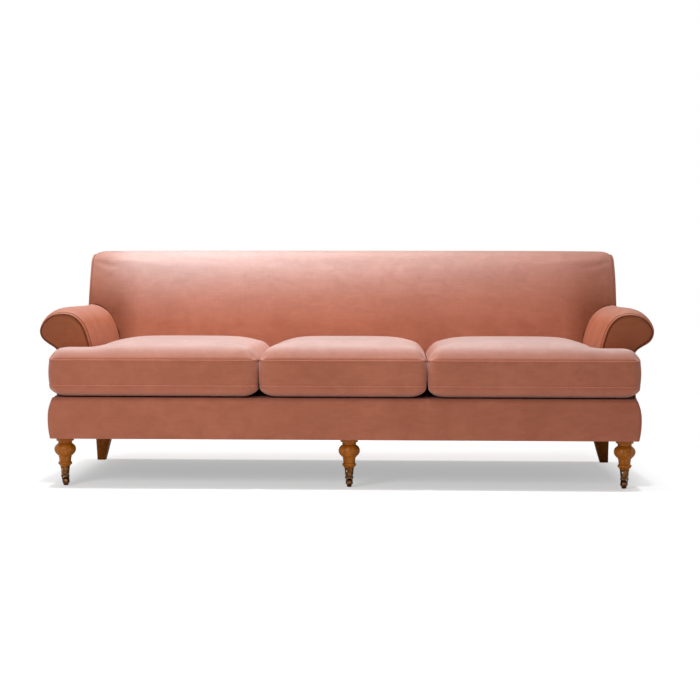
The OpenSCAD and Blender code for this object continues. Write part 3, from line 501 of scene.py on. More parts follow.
# Shares of the painted sheen and of the painted shade: stops of place and amount
# Painted sheen on surfaces that face up: the cushions' tops most, and the arms' tops a little
FACES_UP = ("facing", ((0.35, 0.0), (0.62, 0.15), (0.88, 0.44), (1.0, 0.58)))
ARM_TOP = ("facing", ((0.55, 0.0), (1.0, 0.20)))
# Painted sheen on the back: stronger towards the top, strongest just in from the left end, fading
# towards the right and low at both ends
BACK_RISE = ("height", ((0.55, 0.0), (0.65, 0.12), (0.72, 0.31), (0.78, 0.54), (0.83, 0.66)))
BACK_ACROSS = (
    "across",
    ((0.0, 0.35), (0.05, 0.85), (0.10, 1.0), (0.20, 1.0), (0.50, 0.72), (0.72, 0.55), (0.98, 0.25)),
)
# Painted shade low on the back near both ends, in the crease beside the arms' rolls
TUCK_SHADE_RISE = ("height", ((0.60, 1.0), (0.66, 0.6), (0.76, 0.25), (0.84, 0.0)))
TUCK_SHADE_ACROSS = ("across", ((0.045, 0.80), (0.085, 0.0), (0.915, 0.0), (0.955, 0.80)))

ROSE, DEEP_ROSE = (0.512, 0.174, 0.102), (0.452, 0.149, 0.085)
# The cushions', outside arms' and outside back's velvet takes painted sheen where it faces up; the
# back's takes painted sheen and painted shade; the arms' takes a little painted sheen on top
COVER = velvet("velvet_rose", ROSE, DEEP_ROSE, 0.6, (FACES_UP,))
COVER_BASE = velvet("velvet_base", ROSE, DEEP_ROSE, 0.30)
COVER_BACK = velvet(
    "velvet_back", ROSE, DEEP_ROSE, 0.30, (BACK_RISE, BACK_ACROSS), (TUCK_SHADE_RISE, TUCK_SHADE_ACROSS)
)
COVER_ARM = velvet("velvet_arm", (0.508, 0.159, 0.078), (0.444, 0.132, 0.062), 0.10, (ARM_TOP,))
# A darker copy of the velvet: painted shade for the scroll panels, which stand in shade; the back
# boxings' welts use it as a dark seam line
COVER_SHADE = velvet("velvet_scroll", (0.375, 0.120, 0.055), (0.318, 0.099, 0.044), 0.0)
# A lighter copy of the velvet for the welts: a painted highlight along them, where their tops catch
# the light
COVER_WELT = velvet("velvet_welt", (0.660, 0.260, 0.176), (0.594, 0.226, 0.149), 0.2)
# A dark velvet for the seam and welt cords, and for the tuck cord, which is painted shade
COVER_CORD = velvet("velvet_cord", (0.190, 0.054, 0.024), (0.150, 0.042, 0.018), 0.0)
HONEY = wood("honey_wood", (0.550, 0.172, 0.009), (0.350, 0.094, 0.004), 0.38, 0.12)
BROWN = wood("brown_wood", (0.440, 0.130, 0.010), (0.270, 0.070, 0.005), 0.50, 0.0)
TIMBER = wood("frame_timber", (0.620, 0.420, 0.230), (0.480, 0.300, 0.150), 0.65, 0.0, (1.1, 9, 9))
BRASS = metal("antique_brass", (0.270, 0.118, 0.044), (0.090, 0.038, 0.016), 0.42)
BRIGHT = metal("bright_screw", (0.80, 0.66, 0.42), (0.55, 0.42, 0.24), 0.30)
STEEL = metal("steel", (0.56, 0.57, 0.60), (0.34, 0.35, 0.37), 0.38)
DECK_CLOTH = woven("deck_cloth", (0.360, 0.150, 0.110), (0.240, 0.095, 0.070), 450)
CAMBRIC = woven("cambric", (0.020, 0.020, 0.023), (0.008, 0.008, 0.010), 600)
WEBBING = woven("webbing", (0.030, 0.030, 0.034), (0.012, 0.012, 0.014), 260)
FOAM = woven("foam", (0.780, 0.720, 0.560), (0.660, 0.600, 0.450), 300)

LOOK_OF_SLOT = {
    "velvet": COVER,
    "deck_cloth": DECK_CLOTH,
    "foam": FOAM,
    "cambric": CAMBRIC,
    "webbing": WEBBING,
    "frame_timber": TIMBER,
    "honey_wood": HONEY,
    "brown_wood": BROWN,
    "antique_brass": BRASS,
    "steel": STEEL,
}


def dress_cad_nodes():
    """Gives each CAD solid the look of its material slot."""
    for part in frame["record"]["subparts"]:
        node = cad_nodes[part["node"]]
        look = LOOK_OF_SLOT[part["material_slot"]]
        if node.data.materials:
            node.data.materials[0] = look
        else:
            node.data.materials.append(look)


def attach(piece, body, *replaced, fill=None, slot="velvet"):
    """Tells a piece's body and the nodes that it replaces. Its fill, if it is padded, is not used.
    """
    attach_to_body(piece, body)
    if replaced:
        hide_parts(*replaced)


# Seat cushions

# Seams over the underside, and the rows of the side band between them
LOW_SEAM = CUSHION_LOW.z + 0.040
TOP_SEAM = LOW_SEAM + 0.088
BAND_ROWS = 7
SIDE_BULGE = 0.003
CORNER_R = 0.034
NOTCH_GAP = 0.0006
# Grid of the top and the underside, with the places of its lines in the roll along an edge
CUSHION_STEP = 0.0135
ROLL_SHARES = (0, 0.02, 0.07, 0.15, 0.26, 0.40, 0.57, 0.77, 1)
EDGE_ROLL = 0.050
LOW_ROLL = 0.060
# Rise of the edge roll and of the crown, which eases off towards the outline
EDGE_RISE = 0.040
CROWN_RISE = 0.030
CROWN_EASE = 0.078
DEPTH_POWER = 4
LEAST_DEPTH = 1e-4
# Ears of the outer cushions, where the crown drops
EAR_START = 0.135
EAR_EASE = 0.130
EAR_DEPTH = 0.110
EAR_DROP = 0.92
EAR_OUT = 0.0050
# Cloth
CUSHION_PRESSURE = 4.0
CUSHION_CAP = 0.005
FLAT_HEIGHT = 0.004
WELT_R = 0.0015
WELT_POINTS = 240


def far_roll(b):
    """Grid lines in the roll before an edge at b."""
    return [b - s * EDGE_ROLL for s in reversed(ROLL_SHARES)]


def far_places(a, b):
    """Grid lines past a line at a, up to an edge at b."""
    flat = b - a - EDGE_ROLL
    n = round(flat / CUSHION_STEP)
    return [a + flat * k / n for k in range(1, n)] + far_roll(b)


def places(a, b):
    """Grid lines between two edges, closer together in the rolls along both."""
    flat = b - a - 2 * EDGE_ROLL
    n = max(2, round(flat / CUSHION_STEP))
    near_roll = [a + s * EDGE_ROLL for s in ROLL_SHARES]
    return near_roll + [a + EDGE_ROLL + flat * k / n for k in range(1, n)] + far_roll(b)


def round_corner(p, corner, way):
    """Moves a point inside a square corner to lie inside the same corner when it is round."""
    r = CORNER_R
    v = Vector(((p.x - corner.x) * way[0] - r, (p.y - corner.y) * way[1] - r))
    if v.x >= 0 or v.y >= 0 or v.length == 0:
        return p
    w = v * max(-v.x, -v.y) / v.length
    return Vector((corner.x + way[0] * (w.x + r), corner.y + way[1] * (w.y + r)))


def cushion_mesh(name, x0, x1, x2, side):
    """A boxed cushion over x0 to x1, with an ear out to x2 in front of the arm where x2 passes x1.

    Gives the piece and its rows of points round the side band, from the low seam up.
    """
    y0, y1 = CUSHION_LOW.y, CUSHION_HIGH.y
    notch = ARM_FRONT - NOTCH_GAP
    eared = x2 > x1
    xs, ys = places(x0, x1), places(y0, notch if eared else y1)
    body_columns, ear_rows = len(xs), len(ys)
    if eared:
        xs += far_places(x1, x2)
        ys += far_places(notch, y1)

    def used(i, j):
        return i < body_columns or j < ear_rows

    def depths(x, y):
        """How far a point lies inside each edge of the outline."""
        found = [x - x0, x2 - x, y - y0, y1 - y]
        return found + [hypot(max(x1 - x, 0), max(notch - y, 0))] if eared else found

    def edge_share(x, y, width, rise):
        return prod(rise(d / width) for d in depths(x, y))

    def crown(x, y):
        """A dome that rises with the distance from the outline."""
        powers = sum(max(d, LEAST_DEPTH) ** -DEPTH_POWER for d in depths(x, y))
        depth = powers ** (-1 / DEPTH_POWER)
        ear = 0
        if eared:
            ear = smooth_step((x - x1 + EAR_START) / EAR_EASE)
            ear *= smooth_step((notch - y) / EAR_DEPTH + 1)
        return (1 - exp(-((depth / CROWN_EASE) ** 2))) * (1 - EAR_DROP * ear)

    def plan(x, y, m):
        """The point inside an outline that lies m inside the cushion's widest one."""
        right = x2 - m
        p = Vector((min(max(x, x0 + m), right), min(max(y, y0 + m), y1 - m)))
        if eared and x >= x1 and y >= notch:
            p = Vector((x1 - m if x == x1 else p.x, notch - m if y == notch else p.y))
        corners = [
            ((x0 + m, y0 + m), (1, 1)),
            ((right, y0 + m), (-1, 1)),
            ((x0 + m, y1 - m), (1, -1)),
            ((x1 - m, y1 - m), (-1, -1)),
        ]
        if eared:
            corners.append(((right, notch - m), (-1, -1)))
        for corner, way in corners:
            p = round_corner(p, Vector(corner), way)
        return p

    points, index = [], {}
    for level in ("top", "bottom"):
        for j, y in enumerate(ys):
            for i, x in enumerate(xs):
                if not used(i, j):
                    continue
                p = plan(x, y, SIDE_BULGE)
                if level == "top":
                    z = TOP_SEAM + EDGE_RISE * edge_share(x, y, EDGE_ROLL, pad_rise)
                    z += CROWN_RISE * crown(x, y)
                else:
                    drop = LOW_SEAM - CUSHION_LOW.z
                    z = LOW_SEAM - drop * edge_share(x, y, LOW_ROLL, quarter_rise)
                index[level, i, j] = len(points)
                points.append(Vector((p.x * side, p.y, z)))
    # the outline, anticlockwise from the first corner
    last, top_row = len(xs) - 1, len(ys) - 1
    loop = [(i, 0) for i in range(last + 1)]
    loop += [(last, j) for j in range(1, ear_rows)]
    if eared:
        loop += [(i, ear_rows - 1) for i in range(last - 1, body_columns - 2, -1)]
        loop += [(body_columns - 1, j) for j in range(ear_rows, top_row + 1)]
    loop += [(i, top_row) for i in range(body_columns - 2, -1, -1)]
    loop += [(0, j) for j in range(top_row - 1, 0, -1)]
    rows = [[index["bottom", i, j] for i, j in loop]]
    for k in range(1, BAND_ROWS):
        t = k / BAND_ROWS
        m = SIDE_BULGE * (2 * t - 1) ** 2
        rows.append([])
        for i, j in loop:
            p = plan(xs[i], ys[j], m)
            rows[-1].append(len(points))
            points.append(Vector((p.x * side, p.y, LOW_SEAM + (TOP_SEAM - LOW_SEAM) * t)))
    rows.append([index["top", i, j] for i, j in loop])
    faces = []
    for level in ("top", "bottom"):
        for j in range(top_row):
            for i in range(last):
                if used(i + 1, j + 1):
                    square = ((i, j), (i + 1, j), (i + 1, j + 1), (i, j + 1))
                    faces.append(tuple(index[level, a, b] for a, b in square))
    n = len(loop)
    for low, high in zip(rows, rows[1:]):
        faces += [(low[k], low[(k + 1) % n], high[(k + 1) % n], high[k]) for k in range(n)]
    return add_object(name, points, faces, COVER), rows


def make_cushion(name, x0, x1, x2, side):
    x2 += EAR_OUT if x2 > x1 else 0
    piece, rows = cushion_mesh(name + "_cover", x0, x1, x2, side)
    rest = [v.co.copy() for v in piece.data.vertices]
    flat = {v.index for v in piece.data.vertices if v.co.z < CUSHION_LOW.z + FLAT_HEIGHT}
    puff(piece, set(rows[0]) | set(rows[-1]) | flat, CUSHION_CAP, CUSHION_PRESSURE)
    # the side band stays clear of its neighbours, and the underside stays above the deck
    band = {k for row in rows[1:-1] for k in row}
    for k, vertex in enumerate(piece.data.vertices):
        if k in band:
            vertex.co = limited(rest[k], vertex.co, GAP)
        vertex.co.z = max(vertex.co.z, CUSHION_LOW.z)
    soften(piece)
    attach(piece, name, name.replace("_seat", ""), fill=0.85)
    for label, row in (("low", rows[0]), ("top", rows[-1])):
        line = resample([piece.data.vertices[k].co for k in row], WELT_POINTS, closed=True)
        add_cord(f"{name}_{label}_welt", line, WELT_R, COVER_WELT, name, closed=True)


# Arms

# The roll over the arm's neck: its size, its tilt up to the back and its outline in shares
ROLL_W = ARM_HIGH.x - ARM_X
NECK_Z = 0.465
ROLL_H = 0.136
ARM_TILT = radians(2.4)
ROLL_OUTLINE = (
    (0, 0), (0, 0.18), (0.034, 0.35), (0.102, 0.61), (0.209, 0.82), (0.350, 0.955), (0.545, 1),
    (0.740, 0.956), (0.880, 0.831), (0.970, 0.669), (1, 0.515), (0.950, 0.346), (0.825, 0.213),
    (0.690, 0.096), (0.640, 0),
)
ROLL_STEPS = 6
ROLL_FOOT = 0.002
ROLL_COUNT = 84
ARM_STATIONS = 44
ARM_SKIN = 0.013
ARM_PRESSURE = 2.0
ARM_CAP = 0.003
# The rake of the sofa's rear, and the outside back's thickness
REAR_RAKE = radians(6.25)
PANEL_T = 0.008
# The arm's front strip: how far behind the front edge, and how far the cover stands out
STRIP = (
    (0.0, -0.0055), (0.002, -0.0025), (0.006, 0.0010), (0.011, 0.0028), (0.016, 0.0026),
    (0.019, -0.0004), (0.0215, 0.0022), (0.028, 0.0034), (0.038, 0.0034),
)
STRIP_END, STRIP_OUT = STRIP[-1]
SEAM_BACK = 0.019
SEAM_OUT = 0.0015
SEAM_R = 0.0022
# The dark cord in the crease where the cover is tucked in before the back: painted shade
TUCK_SHADE_R = 0.0030
TUCK_SHADE_FRONT = 0.0075
# How the cover swells behind the seam, and is drawn in along the inner side
ARM_SWELL = 0.018
SWELL_FROM = 0.022
SWELL_RUN = 0.045
SWELL_LENGTH = 0.50
ARM_DRAW = 0.010
DRAW_BACK = (0.1, 0.4)
# Where both set in, as a start and a run in shares of the roll's width and height
SWELL_ACROSS = (0.25, 0.35)
SWELL_UP = (0.0, 0.35)
DRAW_UP = (0.15, 0.45)
# The scroll panel: its place inside the roll line, and its rings as a share and a depth
PANEL_IN = 0.0045
PANEL_CENTRE = Vector((ARM_X + 0.060, NECK_Z + 0.035))
PANEL_RINGS = (
    (1.0, 0.011), (1.0, 0.004), (0.985, 0.001), (0.95, -0.001), (0.87, -0.003),
    (0.7, -0.0045), (0.45, -0.0055), (0.2, -0.006), (0.03, -0.006),
)
STEM_POINTS, FOOT_POINTS = 10, 8
NECK_LOW = NECK_Z - 0.002
SCROLL_WELT_R = 0.0028
SCROLL_WELT_IN = 0.0035
SCROLL_WELT_BACK = 0.0


def inner_rear(z):
    """Depth of the outside back's inner face at a height."""
    return BACK_Y - (PANEL_TOP - z) * tan(REAR_RAKE) - PANEL_T


def roll_line():
    """The arm roll's outline as points of X and Z, from low on the inner wall to the neck."""
    line = [Vector((ARM_X + a * ROLL_W, NECK_Z + b * ROLL_H)) for a, b in ROLL_OUTLINE]
    line = [Vector((ARM_X, DECK_HIGH.z + ROLL_FOOT))] + catmull(line, ROLL_STEPS)
    return resample(line, ROLL_COUNT)


def moved_in(points, distance):
    """A clockwise line moved into its piece."""
    return [p - n * distance for p, n in zip(points, outward(points))]


def arm_point(x, z, back):
    """A point of the arm's front outline carried back along the tilted arm."""
    return Vector((x, ARM_FRONT + back * cos(ARM_TILT), z + back * sin(ARM_TILT)))


def arm_length(z):
    """How far back the arm runs at a height, up to the outside back."""
    return (inner_rear(z) - GAP - ARM_FRONT) / (cos(ARM_TILT) - sin(ARM_TILT) * tan(REAR_RAKE))


def arm_swell(p, back):
    """How far the cover stands out over the padding.

    It is full behind the front seam and drawn in along the inner side towards the rear.
    """
    across, up = (p.x - ARM_X) / ROLL_W, (p.y - NECK_Z) / ROLL_H
    outer = eased(across, *SWELL_ACROSS)
    behind = max(back - SWELL_FROM, 0)
    full = ARM_SWELL * (1 - exp(-behind / SWELL_RUN)) * (1 - min(behind / SWELL_LENGTH, 1))
    drawn = ARM_DRAW * eased(back, *DRAW_BACK)
    return outer * eased(up, *SWELL_UP) * full - (1 - outer) * eased(up, *DRAW_UP) * drawn


def make_arm(label, side):
    name = label + "_arm_pad"
    line = roll_line()
    normals = outward(line)
    inner = moved_in(line, ARM_SKIN)[::-1]

    def cover_point(p, normal, back, out):
        return arm_point((p.x + normal.x * out) * side, p.y + normal.y * out, back)

    rings = []
    for station in range(len(STRIP) + ARM_STATIONS):
        share = (station - len(STRIP) + 1) / ARM_STATIONS
        ring = []
        for k, p in enumerate(line + inner):
            if station < len(STRIP):
                back, out = STRIP[station]
            else:
                back, out = STRIP_END + (arm_length(p.y) - STRIP_END) * share, STRIP_OUT
            out += arm_swell(p, back)
            q = p + normals[k] * out if k < ROLL_COUNT else p
            ring.append(arm_point(q.x * side, q.y, back))
        rings.append(ring)
    piece = loft(name + "_cover", rings, COVER_ARM)
    # the foot, the inside, the strip before the seam and the rear end stay
    held = held_points(rings, ROLL_COUNT - 1, (*range(len(STRIP) - 2), len(rings) - 1))
    puff(piece, held, ARM_CAP, ARM_PRESSURE)
    soften(piece)
    attach(piece, FRAME_BODY, name, fill=0.8)
    seam = [cover_point(p, normal, SEAM_BACK, SEAM_OUT) for p, normal in zip(line, normals)]
    add_cord(name + "_seam", seam, SEAM_R, COVER_CORD)
    # A dark cord along the crease between the roll and the back: painted shade in the crease
    tuck_shade = []
    for p, normal in zip(line, normals):
        if p.x > SEAM_X:
            break
        back = FACE_Y - TUCK_SHADE_FRONT - ARM_FRONT + (p.y - TOP_SEAM) * tan(BACK_RAKE)
        back /= cos(ARM_TILT) - sin(ARM_TILT) * tan(BACK_RAKE)
        tuck_shade.append(cover_point(p, normal, back, STRIP_OUT + arm_swell(p, back)))
    add_cord(name + "_tuck", tuck_shade, TUCK_SHADE_R, COVER_CORD)


def scroll_outline(inset):
    """The scroll panel's outline in X and Z, as its roll line, its outer stem and its foot."""
    line = moved_in(roll_line(), inset)
    side_x, low = DECK_HIGH.x - inset, line[0].y
    stem = [Vector((side_x, z)) for z in spread(NECK_LOW, low, STEM_POINTS)]
    foot = [Vector((x, low)) for x in spread(side_x, line[0].x, FOOT_POINTS)]
    return line, stem, foot[1:-1]


def make_scroll_panel(label, side):
    name = label + "_scroll_panel"
    line, stem, foot = scroll_outline(PANEL_IN)
    rings = []
    for share, back in PANEL_RINGS:
        inside = [PANEL_CENTRE.lerp(p, share) for p in line + stem + foot]
        rings.append([arm_point(q.x * side, q.y, back) for q in inside])
    # The panel's darker velvet is painted shade
    piece = loft(name + "_cover", rings, COVER_SHADE)
    soften(piece)
    attach(piece, FRAME_BODY, name, fill=0.7)
    line, stem, _ = scroll_outline(SCROLL_WELT_IN)
    welt = [arm_point(p.x * side, p.y, SCROLL_WELT_BACK) for p in line + stem]
    add_cord(name + "_welt", welt, SCROLL_WELT_R, COVER_CORD)


# Base: front band and outside panels, which curve in to the cushions above and to the legs below

BASE_LOW, BASE_TOP = BAND_LOW.z, BAND_HIGH.z
RAIL_FRONT = BAND_LOW.y + 0.015
END_IN_HIGH = 0.017
END_IN_LOW = 0.008
END_POWER = 2.2
# Front band: radii of its upper and lower edges and its ends, and its fold over the rail
BAND_R = 0.014
BAND_LOW_R = 0.005
BAND_END_R = 0.014
BAND_FOLD = 0.012
BAND_CROWN = 0.0015
BAND_STEP = 0.012
BAND_ROUNDING = 8
BAND_STATIONS, BAND_TURNS = 120, 6
# Outside arm panel
OUTSIDE_T = 0.007
OUTSIDE_CROWN = 0.002
OUTSIDE_COLUMNS = (10, 44)
OUTSIDE_ROWS = (14, 12)
# Soft edges of the covered panels
MERGE_DISTANCE = 0.00002
FLAT_ANGLE = radians(1)
SHARP_ANGLE = radians(35)
SOFT_SEGMENTS = 3
OUTSIDE_BACK_R = 0.0022
DECK_R = 0.005
REAR_FACING = 0.9
REAR_WELT_POINTS = 600


def end_in(z):
    """How far the ends of the base curve in at a height."""
    half = (BASE_TOP - BASE_LOW) / 2
    t = (z - BASE_LOW - half) / half
    return (END_IN_HIGH if t > 0 else END_IN_LOW) * min(abs(t), 1) ** END_POWER


def split_evenly(a, b, most):
    """Points from a up to before b, no further apart than a length."""
    n = max(1, int((b - a).length / most))
    return [a.lerp(b, k / n) for k in range(n)]


def make_front_band():
    low, fold = BASE_LOW, BASE_TOP - BAND_FOLD
    corners = [(BAND_LOW.y, low), (BAND_LOW.y, BASE_TOP), (BAND_HIGH.y, BASE_TOP)]
    corners += [(BAND_HIGH.y, fold), (RAIL_FRONT, fold), (RAIL_FRONT, low)]
    radii = [BAND_LOW_R, BAND_R, 0, 0, 0, 0]
    line = rounded_line([Vector(c) for c in corners], radii, BAND_ROUNDING)
    line = [q for a, b in zip(line, line[1:] + line[:1]) for q in split_evenly(a, b, BAND_STEP)]
    # places along the band from -1 to 1, and the share of the turn round each end
    turns = [k / BAND_TURNS for k in range(1, BAND_TURNS + 1)]
    stations = [(-1, turn) for turn in reversed(turns)]
    stations += [(u, 0) for u in spread(-1, 1, BAND_STATIONS)] + [(1, turn) for turn in turns]
    rings = []
    for u, turn in stations:
        ring = []
        for p in line:
            y = p.x
            if y < RAIL_FRONT:
                crown = BAND_CROWN * sin(pi * (p.y - low) / (BASE_TOP - low))
                y = RAIL_FRONT + (y - RAIL_FRONT - crown) * cos(turn * pi / 2)
            reach = HALF_BODY - end_in(p.y) - BAND_END_R * (1 - sin(turn * pi / 2))
            ring.append(Vector((u * reach, y, p.y)))
        rings.append(ring)
    piece = loft("front_band_cover", rings, COVER_BASE)
    soften(piece)
    attach(piece, FRAME_BODY, "front_band", fill=0.8)


def make_outside_arm(label, side):
    name = label + "_outside_arm"
    depths = spread(RAIL_FRONT + GAP, ARM_FRONT, OUTSIDE_COLUMNS[0])
    rear = inner_rear(BASE_LOW) - GAP
    shares = spread(0, 1, OUTSIDE_COLUMNS[1])
    low_rows = spread(BASE_LOW, BASE_TOP, OUTSIDE_ROWS[0])
    high_rows = spread(0, 1, OUTSIDE_ROWS[1])[1:]
    columns = len(depths) + len(shares) - 1

    def place(i, j):
        front = i < len(depths)
        share = 0 if front else shares[i - len(depths) + 1]
        if j < len(low_rows):
            z = low_rows[j]
        else:
            up = high_rows[j - len(low_rows)]
            z = BASE_TOP + (NECK_LOW - BASE_TOP) * up
            z += share * (rear - ARM_FRONT) * tan(ARM_TILT) * up
        y = depths[i] if front else ARM_FRONT + (inner_rear(z) - GAP - ARM_FRONT) * share
        # the upper part curves in only towards the front, below the cushion's ear
        curve = end_in(z)
        if z >= (BASE_LOW + BASE_TOP) / 2:
            curve *= 1 - smooth_step((y - RAIL_FRONT) / (ARM_FRONT - RAIL_FRONT))
        bulge = OUTSIDE_CROWN * sin(pi * share) * sin(pi * (z - BASE_LOW) / (NECK_Z - BASE_LOW))
        return Vector((side * (HALF_BODY - curve + max(bulge, 0)), y, z))

    rows = len(low_rows) + len(high_rows)
    index, points = {}, []
    for j in range(rows):
        for i in range(columns):
            if j < len(low_rows) or i >= len(depths) - 1:
                index[i, j] = len(points)
                points.append(place(i, j))
    faces = [
        (index[i, j], index[i + 1, j], index[i + 1, j + 1], index[i, j + 1])
        for j in range(rows - 1)
        for i in range(columns - 1)
        if (i, j + 1) in index
    ]
    piece = add_object(name + "_cover", points, faces, COVER)
    shell = piece.modifiers.new("thickness", "SOLIDIFY")
    shell.thickness = OUTSIDE_T
    shell.offset = -1
    if (piece.data.polygons[0].normal.x > 0) != (side > 0):
        piece.data.flip_normals()
    soften(piece)
    attach(piece, FRAME_BODY, name, fill=0.6)


def soft_copy(node, name, radius, material):
    """A covered panel with the CAD solid's shape and soft edges."""
    solid = cad_nodes[node].data
    points, faces = [v.co for v in solid.vertices], [tuple(f.vertices) for f in solid.polygons]
    piece = add_object(name, points, faces, material)
    tool = bmesh.new()
    tool.from_mesh(piece.data)
    bmesh.ops.remove_doubles(tool, verts=tool.verts, dist=MERGE_DISTANCE)
    bmesh.ops.dissolve_limit(tool, angle_limit=FLAT_ANGLE, verts=tool.verts, edges=tool.edges)
    tool.to_mesh(piece.data)
    tool.free()
    edges = piece.modifiers.new("soft edges", "BEVEL")
    edges.width = radius
    edges.segments = SOFT_SEGMENTS
    edges.limit_method = "ANGLE"
    edges.angle_limit = SHARP_ANGLE
    edges.harden_normals = True
    return piece


def make_outside_back():
    piece = soft_copy("outside_back", "outside_back_cover", OUTSIDE_BACK_R, COVER)
    facing = [f for f in piece.data.polygons if f.normal.y > REAR_FACING]
    rear = max(facing, key=lambda f: f.area)
    line = [piece.data.vertices[k].co.copy() for k in rear.vertices]
    attach(piece, FRAME_BODY, "outside_back", fill=0.5)
    around = resample(line, REAR_WELT_POINTS, closed=True)
    add_cord("outside_back_welt", around, WELT_R, COVER_WELT, closed=True)


def make_deck():
    piece = soft_copy("deck_pad", "deck_cover", DECK_R, DECK_CLOTH)
    reach = HALF_BODY - END_IN_HIGH
    for vertex in piece.data.vertices:
        vertex.co.x = min(max(vertex.co.x, -reach), reach)
    attach(piece, FRAME_BODY, "deck_pad", fill=0.7, slot="deck_cloth")


# Back

# The raked face, its depth at the cushions' top seam, and the radii along its profile
BACK_RAKE = radians(15)
FACE_Y = 0.240
FRONT_R = 0.055
REAR_R = 0.016
PROFILE_ROUNDING = 10
FRAME_IN = 0.062
TOP_CORNER_R = 0.038
TOP_CROWN = 0.003
CROWN_POWER = 6
FACE_CROWN = 0.005
# Stations across the back: its end seams, distances in from them, and an even part between
SEAM_X = BOXING_X + 0.005
SEAM_STATIONS = (0, 0.0015, 0.004, 0.008, 0.014, 0.022)
EVEN_IN, EVEN_STATIONS = 0.034, 88
BACK_POINTS = (84, 8)
BACK_HELD = 8
BACK_PRESSURE = 3.0
BACK_CAP = 0.006
SEAM_PINCH = 0.002
SEAM_REACH = 0.008
REAR_REACH = 0.010
# How far the ends stand out, from the arms' tops up
END_OUT = 0.003
END_SWELL = 0.009
END_SWELL_REACH = 0.15
END_SWELL_RISE = 0.20
END_SWELL_START = 0.06
# End boxings: their foot, and their rings as a distance out and a drop inside the outline
BOXING_Z = 0.560
BOXING_REAR_Z = BOXING_Z + 0.03
BOXING_POINTS = (60, 6)
BOXING_RINGS = (
    (0.0, 0.0040), (0.0008, 0.0015), (0.0027, 0.0010), (0.0047, 0.0026), (0.0068, 0.0060),
    (0.0087, 0.0105), (0.0098, 0.0165), (0.0100, 0.0225),
)
BOXING_DOME = 0.005
DOME_SHARES = (0.94, 0.85, 0.7, 0.5, 0.3, 0.05)
BOXING_OVER = 0.0015
BOXING_REAR = 0.9
BOXING_WELT_IN = 0.001


def face_y(z):
    """Depth of the raked face of the back at a height."""
    return FACE_Y + (z - TOP_SEAM) * tan(BACK_RAKE)


def back_profile(z0, rear_z, count, inner):
    """Closed outline of the back in Y and Z.

    Its outside runs from the foot of the face to the rear, and its inside back to the foot.
    """
    corners = [(face_y(z0), z0), (face_y(SOFA_TOP), SOFA_TOP), (BACK_Y, SOFA_TOP)]
    corners = [Vector(c) for c in corners + [(inner_rear(rear_z), rear_z)]]
    outer = resample(rounded_line(corners, [0, FRONT_R, REAR_R, 0], PROFILE_ROUNDING), count)
    foot = Vector((face_y(z0) + FRAME_IN, z0))
    inside = [outer[-1].lerp(foot, t) for t in spread(0, 1, inner + 1)[1:]]
    return outer, inside


def corner_drop(x):
    """How far the back's outline is drawn in near its ends, where the top corners are round."""
    over = min(max(abs(x) - (HALF_BODY - TOP_CORNER_R), 0), TOP_CORNER_R)
    crown = TOP_CROWN * (x / HALF_BODY) ** CROWN_POWER
    return TOP_CORNER_R - sqrt(TOP_CORNER_R**2 - over**2) + crown


def rear_share(p):
    """One at the rear of the back's outline, under the outside back, and zero in front."""
    return smooth_step((p.x - inner_rear(p.y) + REAR_REACH) / REAR_REACH)


def end_swell(x, z):
    """How far the back's padding stands out sideways near its ends, above the arms."""
    near = smooth_step(1 - (SEAM_X - abs(x)) / END_SWELL_REACH)
    near *= smooth_step((z - BOXING_Z) / END_SWELL_START + 1)
    out = (END_OUT + END_SWELL * quarter_rise((SOFA_TOP - z) / END_SWELL_RISE)) * near
    return out if x > 0 else -out


def make_back():
    z0 = DECK_HIGH.z + GAP
    outer, inside = back_profile(z0, PANEL_TOP, *BACK_POINTS)
    normals = outward(outer)
    xs = [-SEAM_X + e for e in SEAM_STATIONS]
    xs += spread(-SEAM_X + EVEN_IN, SEAM_X - EVEN_IN, EVEN_STATIONS)
    xs += [SEAM_X - e for e in reversed(SEAM_STATIONS)]
    rings = []
    for x in xs:
        share = 1 - (x / SEAM_X) ** 2
        pinch = SEAM_PINCH * max(0, 1 - (SEAM_X - abs(x)) / SEAM_REACH)
        ring = []
        for p, normal in zip(outer, normals):
            up = min(max((p.y - z0) / (SOFA_TOP - z0), 0), 1)
            bulge = FACE_CROWN * share * sin(pi * up)
            q = p + normal * (bulge - (corner_drop(x) + pinch) * (1 - rear_share(p)))
            ring.append(Vector((x + end_swell(x, q.y), q.x, q.y)))
        ring += [Vector((x, p.x, p.y)) for p in inside]
        rings.append(ring)
    piece = loft("back_cover", rings, COVER_BACK)
    # the foot, the rear, the inside and both end seams stay
    last = len(rings) - 1
    held = held_points(rings, len(outer) - BACK_HELD, (0, 1, last - 1, last))
    puff(piece, held, BACK_CAP, BACK_PRESSURE)
    soften(piece)
    attach(piece, FRAME_BODY, "back_pad", fill=0.8)


